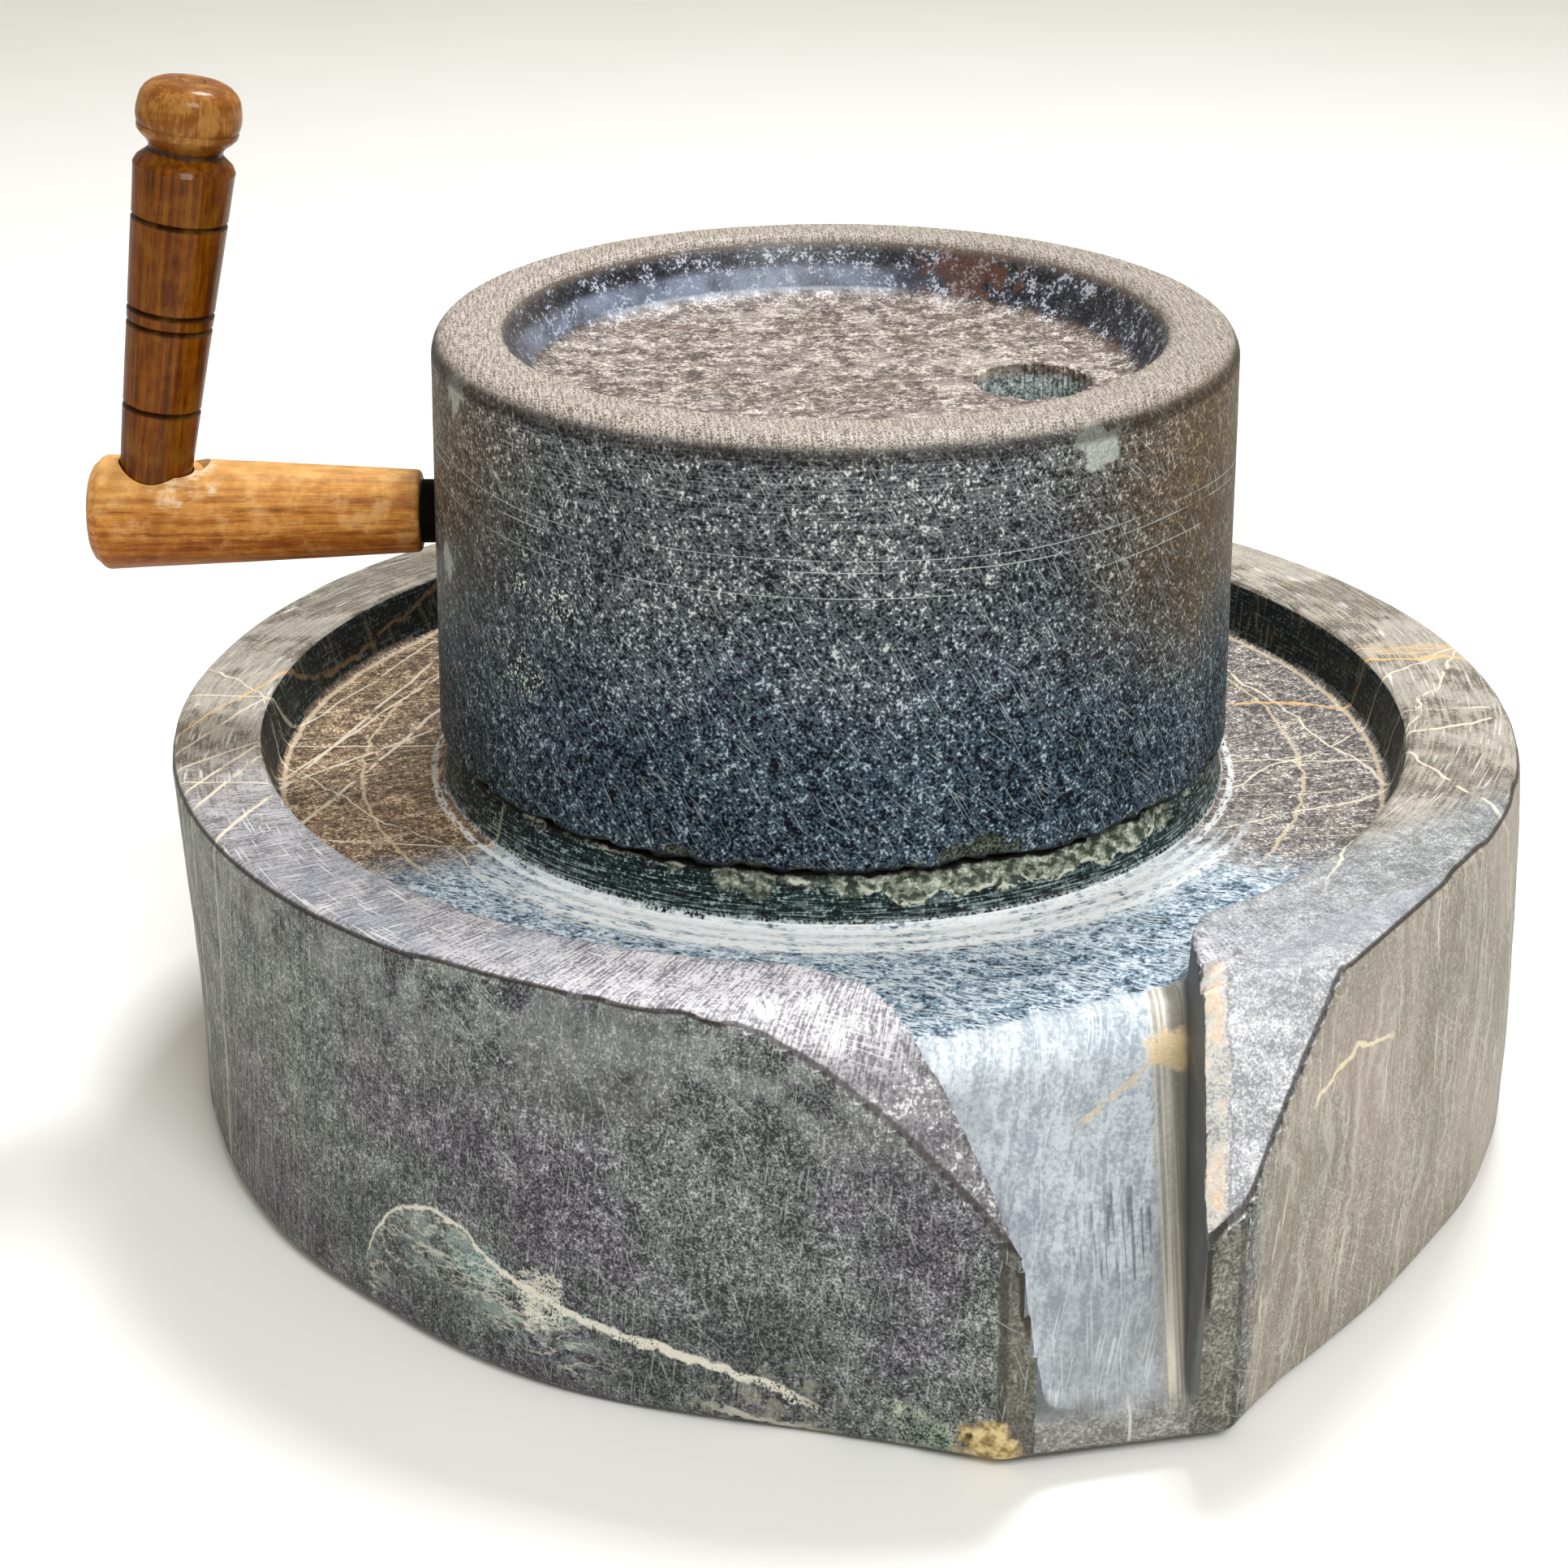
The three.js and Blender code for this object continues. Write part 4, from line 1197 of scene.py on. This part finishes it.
# %% The rim's finish
def rim_finish():
    f = Finish("stone_rim")
    around = f.bearing() * 158.0
    out = f.from_axis()
    cloud = f.mottle(0.035)
    patch = f.mottle(0.14)
    ragged = patch - 0.5
    grains = f.mottle(1.2, 1.0)
    across = f.brushed(around, out, 104, 7, 0.6, 1.0)
    along = f.brushed(around, out, 4, 16, 1.1, 5.0)
    front = f.above(around + (cloud - 0.5) * 90.0, -280, -200) * f.below(around, 40, 100)
    scored = across * front + along * (1 - front)
    mixed = scored * 0.45 + grains * 0.3 + patch * 0.25
    dark = f.blend(front, (96, 89, 78), (112, 110, 118))
    pale = f.blend(front, (170, 161, 147), (220, 218, 224))
    color = f.blend(f.above(mixed, 0.4, 0.58), dark, pale)
    bluish = f.below(cloud, 0.4, 0.54) * f.above(around, -215, -180) * f.below(around, -130, -100)
    color = f.over(color, bluish * 0.3, 134, 150, 172)
    color = f.over(color, f.above(-around, 90, 170) * front * 0.5, 92, 92, 98)
    color = f.over(color, f.below(cloud, 0.4, 0.5) * (1 - front) * 0.4, 104, 98, 88)
    color = f.over(color, f.above(cloud, 0.5, 0.6) * (1 - front) * 0.4, 196, 190, 180)
    # pale and dark strokes
    lines = f.scratches(around, out, 104, 9, 0.5, 3.0, 0.6) * front
    lines = f.most(lines, f.scratches(around, out, 8, 11, 0.6, 7.0, 0.5))
    color = f.over(color, lines * 0.6, 236, 234, 230)
    darts = f.scratches(around, out, 4, 9, 0.7, 17.0, 0.3) * (1 - front)
    color = f.over(color, darts * 0.45, 72, 64, 56)
    # the right arm with its step, and its inner edge
    step = -f.y + f.x * 0.333
    arm = f.above(step, 173.6, 174.6) * f.above(f.x, 8, 14)
    bank = f.above(step + ragged * 10.0, 140, 156) * f.above(f.x, 30, 40)
    gritty, _ = f.ground((104, 110, 116), (154, 160, 166), (210, 216, 222), ragged * 0.3, 1.7)
    color = f.blend(bank * 0.7, color, gritty)
    lilac, _ = f.ground((140, 142, 148), (190, 191, 196), (232, 232, 236), ragged * 0.5, 1.7)
    color = f.blend(arm * 0.95, color, lilac)
    inner = f.x - (17.5 + (f.y + 197.0) * 0.37)
    # painted shade on the outer front part of the right arm
    right_arm_shade = arm * f.above(inner + ragged * 8.0, 8, 18) * f.below(step, 180, 198)
    color = f.over(color, right_arm_shade * 0.5, 134, 140, 148)
    band = arm * f.below(inner + ragged * 5.0, 4.0, 6.5) * f.above(grains + patch, 0.7, 1.0)
    color = f.blend(band * 0.75, color, f.blend(f.above(patch, 0.44, 0.6), (206, 202, 188), (226, 196, 162)))
    color = f.over(color, arm * f.line(inner - 6.5 + ragged * 6.0, 0.6) * 0.4, 96, 92, 84)
    # the worn left arm
    left_arm = f.above(-f.y - cloud * 20.0, 148, 166) * f.below(f.x, 0, 6)
    worn, _ = f.ground((44, 42, 46), (108, 104, 108), (200, 200, 204), ragged * 0.4)
    color = f.blend(left_arm * 0.85, color, worn)
    # veins, a dab of meal and dark edges
    cream, ochre = pale_veins(f)
    color = f.over(color, cream * 0.85, 230, 220, 198)
    bundle = f.vein((0.3, 0.95, 0.05), 42.0, 5.0, 3.0) * f.above(f.x, 130, 140)
    strands = f.above(f.brushed(f.x, f.y, -12, 14, 0.9, 4.0), 0.48, 0.56)
    color = f.over(color, bundle * strands * 0.7 + ochre * 0.85, 226, 184, 124)
    dab = f.spot((-65.6, -152.1, 99.0), 4.6) * f.above(f.brushed(f.x, f.y, 80, 9, 0.8, 6.0), 0.42, 0.5)
    color = f.over(color, dab * 0.9, 238, 238, 242)
    color = f.over(color, f.line(f.painted("border"), 0.45) * 0.85, 40, 30, 25)
    color = f.over(color, f.painted("chipped") * 0.25, 90, 84, 78)
    return f.done(color, 0.46, scored * 0.6 + grains * 0.4, specular=0.4)


# %% [markdown]
# ## The trough and the chute
# The batter's path. The trough's floor is brown on the left, grey-mauve on the right, and pale and streaked
# in front, where white rings of dried meal lie round the bed's foot. The chute is smooth pale blue-grey,
# with a tan band and an ochre patch along its right side, and painted shade darkens its steep walls.

# %% The trough's finish
def trough_finish():
    f = Finish("stone_trough")
    bearing = f.bearing()
    around = bearing * 120.0
    out = f.from_axis()
    cloud = f.mottle(0.045)
    drift = cloud - 0.5
    patch = f.mottle(0.16)
    ragged = patch - 0.5
    lift = ragged * 0.35
    left = f.above(f.x * -0.966 + f.y * 0.259 + drift * 40.0, 56, 85)
    left = left * f.above(f.y + drift * 30.0 + ragged * 16.0, -32, -20)
    brown, grains = f.ground((68, 52, 40), (144, 118, 92), (222, 200, 168), lift)
    mauve, _ = f.ground((66, 62, 64), (136, 128, 122), (220, 214, 206), lift)
    color = f.blend(left, mauve, brown)
    sweeps = f.scratches(around, out, 66, 16, 0.6, 2.0, 0.5)
    color = f.over(color, sweeps * 0.6, 220, 206, 180)
    tracks = f.line(out - 121.5 + ragged * 4.0, 0.7) + f.line(out - 141.5 + ragged * 2.0, 0.9)
    color = f.over(color, tracks * 0.6, 222, 202, 168)
    color = f.over(color, f.above(out, 142.2, 143.4) * 0.6, 40, 36, 30)
    # the front of the floor, pale and streaked
    slate, _ = f.ground((50, 66, 84), (140, 164, 184), (234, 244, 252), lift + 0.03, 1.1)
    dashes = f.hatched(f.x, f.y, (-50, 5, 0.7, 3.0, 1.1), (-28, 6, 0.7, 13.0, 1.1))
    wiped = f.above(f.drawn_out(around, out, 2, 7, 1.0, 5.0, 2.0), 0.5, 0.6) * f.below(out, 112, 124)
    slate = f.over(slate, f.most(dashes, wiped) * 0.85, 226, 236, 244)
    front = f.below(abs(bearing + 0.28) + drift * 0.3, 0.86, 1.1)
    color = f.blend(front, color, slate)
    # the chute
    down = f.above(-f.y + f.x * 0.12 + ragged * 7.0, 147, 150)
    dust = f.mottle(0.9, 1.0) * 0.5 + f.mottle(0.13, 3.0, 0.65) * 0.5
    wiping = f.brushed(f.x + ragged * 6.0, f.z, 66, 16, 1.6, 31.0)
    chute = f.blend(f.above(dust * 0.65 + wiping * 0.35, 0.39, 0.61), (170, 182, 194), (236, 244, 251))
    chute = f.over(chute, f.below(cloud, 0.38, 0.5) * 0.3, 136, 150, 162)
    chute = f.over(chute, f.below(f.z + drift * 20.0, 10, 50) * 0.5, 136, 140, 140)
    hair = f.hatched(f.x, f.z, (62, 14, 0.5, 26.0, 0.5), (80, 16, 0.5, 6.0, 0.5))
    chute = f.over(chute, hair * 0.55, 244, 247, 250)
    dusky = f.above(f.x + ragged * 14.0, 4, 14) * f.below(f.z, 20, 60)
    chute = f.over(chute, dusky * 0.3, 150, 140, 126)
    scrape = f.spot((6.0, -180.0, 44.0), 13.0, 0.4)
    scrape = scrape * f.above(f.brushed(f.x, f.z, 82, 22, 1.4, 8.0), 0.5, 0.6)
    chute = f.over(chute, scrape * 0.7, 80, 90, 98)
    # the tan band along the chute's right side
    right_edge = f.x - (17.5 + (f.y + 197.0) * 0.27)
    band = f.above(right_edge + ragged * 3.0, -7.5, -5.0)
    grooved = f.above(f.brushed(right_edge, f.z, 90, 60, 0.9, 2.0), 0.42, 0.6)
    chute = f.blend(band * 0.75, chute, f.blend(grooved, (176, 166, 148), (244, 234, 212)))
    chute = f.over(chute, f.above(right_edge, -2.4, -1.0) * 0.6, 96, 92, 84)
    sliver = f.line(f.z - 66.0 - (f.x - 3.0) * 0.5 + ragged * 6.0, 1.1) * f.above(f.x, 0, 4)
    chute = f.over(chute, sliver * f.above(patch, 0.4, 0.55) * 0.8, 244, 230, 200)
    # the chute's foot, then what lies on everything
    low = f.below(f.z + drift * 12.0 + ragged * 5.0, 10, 17)
    foot_tone, _ = f.ground((104, 104, 100), (138, 138, 134), (172, 172, 168), lift)
    color = f.blend(down, color, f.blend(low, chute, foot_tone))
    honey = f.spot((25.0, -159.5, 76.0), 6.0, 0.35) * f.above(grains * 0.5 + patch * 0.5, 0.3, 0.5)
    color = f.over(color, honey * 0.85, 255, 226, 176)
    cream, ochre = pale_veins(f)
    color = f.over(color, cream * 0.8, 230, 220, 196)
    color = f.over(color, ochre * (1 - down * 0.85) * 0.85, 226, 182, 120)
    scar = f.line(f.x - 2.6 + ragged * 0.8, 0.5) * f.below(f.z, 14, 17)
    color = f.over(color, scar * 0.7, 214, 212, 204)
    # dried meal round the bed's foot
    wobble = ragged * 1.6
    near = f.below(abs(bearing + 0.16), 0.6, 1.25)
    meal = (f.line(out - 107.0 + wobble, 1.3) + f.line(out - 111.4 + wobble, 2.2)) * near
    meal = meal + f.line(out - 103.2 + wobble, 1.3) + f.line(out - 100.4 + wobble, 0.8)
    dotted = f.above(f.noise(f.join(around * 0.3, out * 0.8, 0.0), 1.0, 1.0), 0.38, 0.48)
    film = f.below(out, 105, 118) * 0.7 * f.above(patch, 0.3, 0.54)
    powder = f.capped(meal * dotted * (near * 0.4 + 0.6) + film * near * near)
    color = f.over(color, powder, 248, 251, 253)
    # painted shade on the chute's steep walls
    steep_wall_shade = f.painted("steep") * f.above(f.z, 10, 16)
    color = f.over(color, steep_wall_shade * 0.85, 66, 70, 72)
    return f.done(color, 0.5 + powder * 0.3, grains, specular=0.4)


# %% [markdown]
# ## The dark turned walls
# The bed's side and the trough's wall are almost black with a green cast and fine horizontal turning marks.
# Along the front of the bed's top edge the stone has broken in scallops, which show its pale olive inside.

# %% The dark finish
def dark_finish():
    f = Finish("stone_dark_walls")
    around = f.bearing() * 100.0
    out = f.from_axis()
    patch = f.mottle(0.15)
    ragged = patch - 0.5
    turning = f.brushed(around, f.z, 0, 9, 0.5, 1.0)
    color, grains = f.ground((6, 14, 16), (44, 62, 64), (152, 172, 172), (turning - 0.5) * 0.7)
    bed = f.below(out, 110, 120)
    color = f.over(color, (1 - bed) * 0.75, 10, 10, 7)
    dusty = f.above(turning * 0.6 + patch * 0.4, 0.5, 0.58) * f.below(f.z, 88, 92)
    color = f.over(color, dusty * bed * 0.5, 150, 166, 166)
    # the scallops along the bed's top edge, with painted highlights along their lower edge
    lobes = f.noise(f.join(around * 0.11, 0.0, 4.0), 1.0, 1.0)
    reach = f.below(abs(around - 18.0), 30, 52) * 4.5 + f.above(lobes, 0.4, 0.6) * 2.4
    depth = 96.0 - f.z - reach * f.above(around, -60, -30) * f.below(around, 70, 90)
    scallop = f.below(depth + ragged * 2.0, -0.3, 0.3)
    broken = f.most(f.painted("chipped") * 0.8, scallop * bed)
    facets = f.noise(f.join(around * 0.35, f.z * 0.5, 1.0), 1.0, 2.0, 0.6)
    inside = f.blend(f.above(facets, 0.4, 0.56), (66, 74, 62), (150, 156, 138))
    inside = f.over(inside, f.above(facets * 0.6 + grains * 0.4, 0.54, 0.62), 212, 216, 200)
    color = f.blend(broken * 0.9, color, inside)
    # painted highlights along the scallops' lower edge
    crest_highlight = f.line(depth + ragged * 2.0, 0.7) * f.above(facets, 0.42, 0.5) * f.above(reach, 1.0, 2.0) * bed
    color = f.over(color, crest_highlight * 0.8, 214, 216, 198)
    # veins, streaks, and meal at the bed's foot
    cream, ochre = pale_veins(f)
    color = f.over(color, cream * 0.55, 190, 184, 162)
    color = f.over(color, ochre * 0.25, 190, 150, 96)
    streaky = f.above(f.brushed(around, f.z, 84, 14, 1.6, 9.0), 0.54, 0.66) * (1 - bed)
    color = f.over(color, streaky * 0.35, 120, 110, 84)
    foot = f.below(f.z, 84.4, 86.2) * f.above(grains, 0.4, 0.56) * bed
    color = f.over(color, foot * 0.8, 226, 234, 238)
    # painted shade, with some dirt, in the gap under the runner at the bed's top
    gap_shade_and_dirt = f.above(f.z + ragged * 4.0, 95.3, 96.2) * bed
    color = f.over(color, gap_shade_and_dirt, 8, 8, 7)
    return f.done(color, 0.5 + broken * 0.3, grains, specular=0.2)


# %% [markdown]
# ## Wood and steel
# Wood grain is a set of growth rings seen from the side, so the distance from a line well off the part's
# own axis is waved by a slow noise and run through a fine comb. A Mapping node turns the Object coordinates
# to the part's own axis, from which the grain follows the arm and the grip although each lies at its own
# angle. The grip is varnished, which is a clear coat on the shader.

# %% Wood and steel finishes
def wood_finish(name, frame_matrix, early, late, streak):
    f = Finish(name)
    inverse = frame_matrix.inverted()
    own = f.mapped(f.place, location=inverse.translation / MM, rotation=inverse.to_euler("XYZ"))
    x, y, z = f.split(own)
    sway = f.noise(f.join(x * 0.05, y * 0.05, z * 0.012), 1.0, 2.0)
    across = f.math("SQRT", (x + 31.0) * (x + 31.0) + (y - 12.0) * (y - 12.0)) + sway * 7.0
    ring = f.math("FRACT", across * 0.42)
    ring = f.above(ring, 0.0, 0.7) * f.below(ring, 0.8, 1.0)
    fibres = f.noise(f.join(x * 1.6, y * 1.6, z * 0.045), 1.0, 3.0, 0.6)
    stripes = f.noise(f.join(x * 0.5, y * 0.5, z * 0.018), 1.0, 3.0, 0.6)
    pores = f.above(f.noise(f.join(x * 2.2, y * 2.2, z * 0.12), 1.0, 1.0), 0.62, 0.72)
    color = f.blend(ring * 0.4 + f.above(fibres, 0.35, 0.65) * 0.6, early, late)
    color = f.blend(f.above(fibres, 0.5, 0.72) * 0.6, color, streak)
    color = f.blend(f.below(stripes, 0.4, 0.54) * 0.45, color, late, "MULTIPLY")
    color = f.over(color, pores * 0.5, 58, 30, 12)
    cloud = f.mottle(0.16, 3.0, 0.65)
    color = f.blend(f.below(cloud, 0.34, 0.56) * 0.3, color, late, "MULTIPLY")
    return f, color, z, cloud, fibres


def arm_finish():
    f, color, _, cloud, fibres = wood_finish(
        "arm_wood", arm_frame, (214, 150, 70), (164, 100, 34), (232, 178, 104)
    )
    dust = f.above(cloud, 0.5, 0.66) * 0.3
    color = f.over(color, dust, 224, 186, 136)
    # painted highlight along the top of the arm
    color = f.over(color, f.above(f.z + (cloud - 0.5) * 10.0, 154, 166) * 0.4, 255, 204, 130)
    seat_dust = f.spot((-157.0, 43.0, 163.0), 10.0) * f.above(fibres * 0.5 + cloud * 0.5, 0.4, 0.56)
    color = f.over(color, seat_dust * 0.6, 240, 220, 192)
    # painted shade on the underside of the arm
    underside_shade = f.below(f.z + (cloud - 0.5) * 12.0, 143, 154) * 0.9
    color = f.stain(color, underside_shade, 206, 176, 128)
    return f.done(color, 0.42 + dust * 0.5, fibres, 0.06, 0.12, coat=0.05, coat_roughness=0.3)


def grip_finish():
    f, color, along, cloud, fibres = wood_finish(
        "grip_wood", grip_frame, (130, 70, 2), (98, 48, 1), (156, 98, 16)
    )
    dips = 0.0
    for height in (*GROOVES, 92.9, 98.4):
        dips = f.line(along - height, 1.1) + dips
    color = f.over(color, f.capped(dips) * 0.85, 34, 16, 6)
    knob = f.blend(f.above(fibres * 0.3 + cloud * 0.7, 0.42, 0.62), (132, 80, 30), (192, 136, 72))
    color = f.blend(f.above(along, 93, 97) * 0.7, color, knob)
    color = f.over(color, f.above(cloud, 0.5, 0.66) * 0.3, 120, 88, 26)
    return f.done(color, 0.4, fibres, 0.05, 0.05, coat=0.22, coat_roughness=0.1)


def steel_finish():
    f = Finish("black_steel")
    grain = f.mottle(0.8, 3.0, 0.5)
    color = f.blend(grain, (4, 3, 3), (18, 14, 12))
    return f.done(color, 0.5 + grain * 0.2, grain, 0.05, specular=0.05)


for made, finishes in (
    (lower_stone, (wall_finish, rim_finish, trough_finish, dark_finish)),
    (runner_stone, (drum_finish, dish_finish)),
    (steel_shank, (steel_finish,)),
    (wooden_arm, (arm_finish,)),
    (wooden_grip, (grip_finish,)),
):
    for build in finishes:
        made.data.materials.append(build())

# %% [markdown]
# ## Floor, light and camera
# The quern stands on a plain white floor. A lamp high up behind on the right gives the bright top faces and
# the soft shadow on the left; a broader one, high up in front, lifts the wall and the spout. Both are a
# little cool, and a warm white world fills the rest. The camera is a short telephoto, held above the runner
# and left of the spout.

# %% Floor and lamps
scene = bpy.context.scene
floor_mesh = bmesh.new()
bmesh.ops.create_grid(floor_mesh, x_segments=2, y_segments=2, size=20)
floor = stand_in("floor", floor_mesh)
paper = Finish("white_paper")
mottle = paper.noise(paper.place, 0.01, 2.0)
floor.data.materials.append(
    paper.done(paper.blend(mottle, (242, 242, 240), (246, 246, 244)), 0.9, mottle, 0.01)
)

world = bpy.data.worlds.new("studio")
scene.world = world
world.use_nodes = True
world.node_tree.nodes["Background"].inputs["Color"].default_value = (1.0, 0.93, 0.8, 1.0)
world.node_tree.nodes["Background"].inputs["Strength"].default_value = 0.52


def softbox(name, place, aim, size, power, color):
    """A square lamp at a place in metres that faces another place."""
    data = bpy.data.lights.new(name, "AREA")
    data.shape, data.size, data.energy, data.color = "SQUARE", size, power, color
    lamp = bpy.data.objects.new(name, data)
    lamp.location = place
    lamp.rotation_euler = (Vector(aim) - Vector(place)).to_track_quat("-Z", "Y").to_euler()
    scene.collection.objects.link(lamp)
    print(name, "at", place, "gives", power, "W")


softbox("key", (0.4, 0.52, 1.5), (0, -0.05, 0.1), 0.4, 20, (0.95, 0.975, 1.0))
softbox("front", (0.1, -1.5, 1.6), (0, 0, 0.1), 0.8, 27, (0.95, 0.975, 1.0))

# %% Camera
VIEW_DISTANCE = 0.738  # metres from the mill's axis
lens = bpy.data.cameras.new("camera")
lens.sensor_width = 36
lens.lens = 70.8
camera = bpy.data.objects.new("camera", lens)
scene.collection.objects.link(camera)
view_turn = math.radians(18.4)
camera.location = (-VIEW_DISTANCE * math.sin(view_turn), -VIEW_DISTANCE * math.cos(view_turn), 0.4063)
camera.rotation_euler = (math.radians(65.85), 0, math.radians(-17.43))
scene.camera = camera
scene.view_settings.view_transform = "Standard"
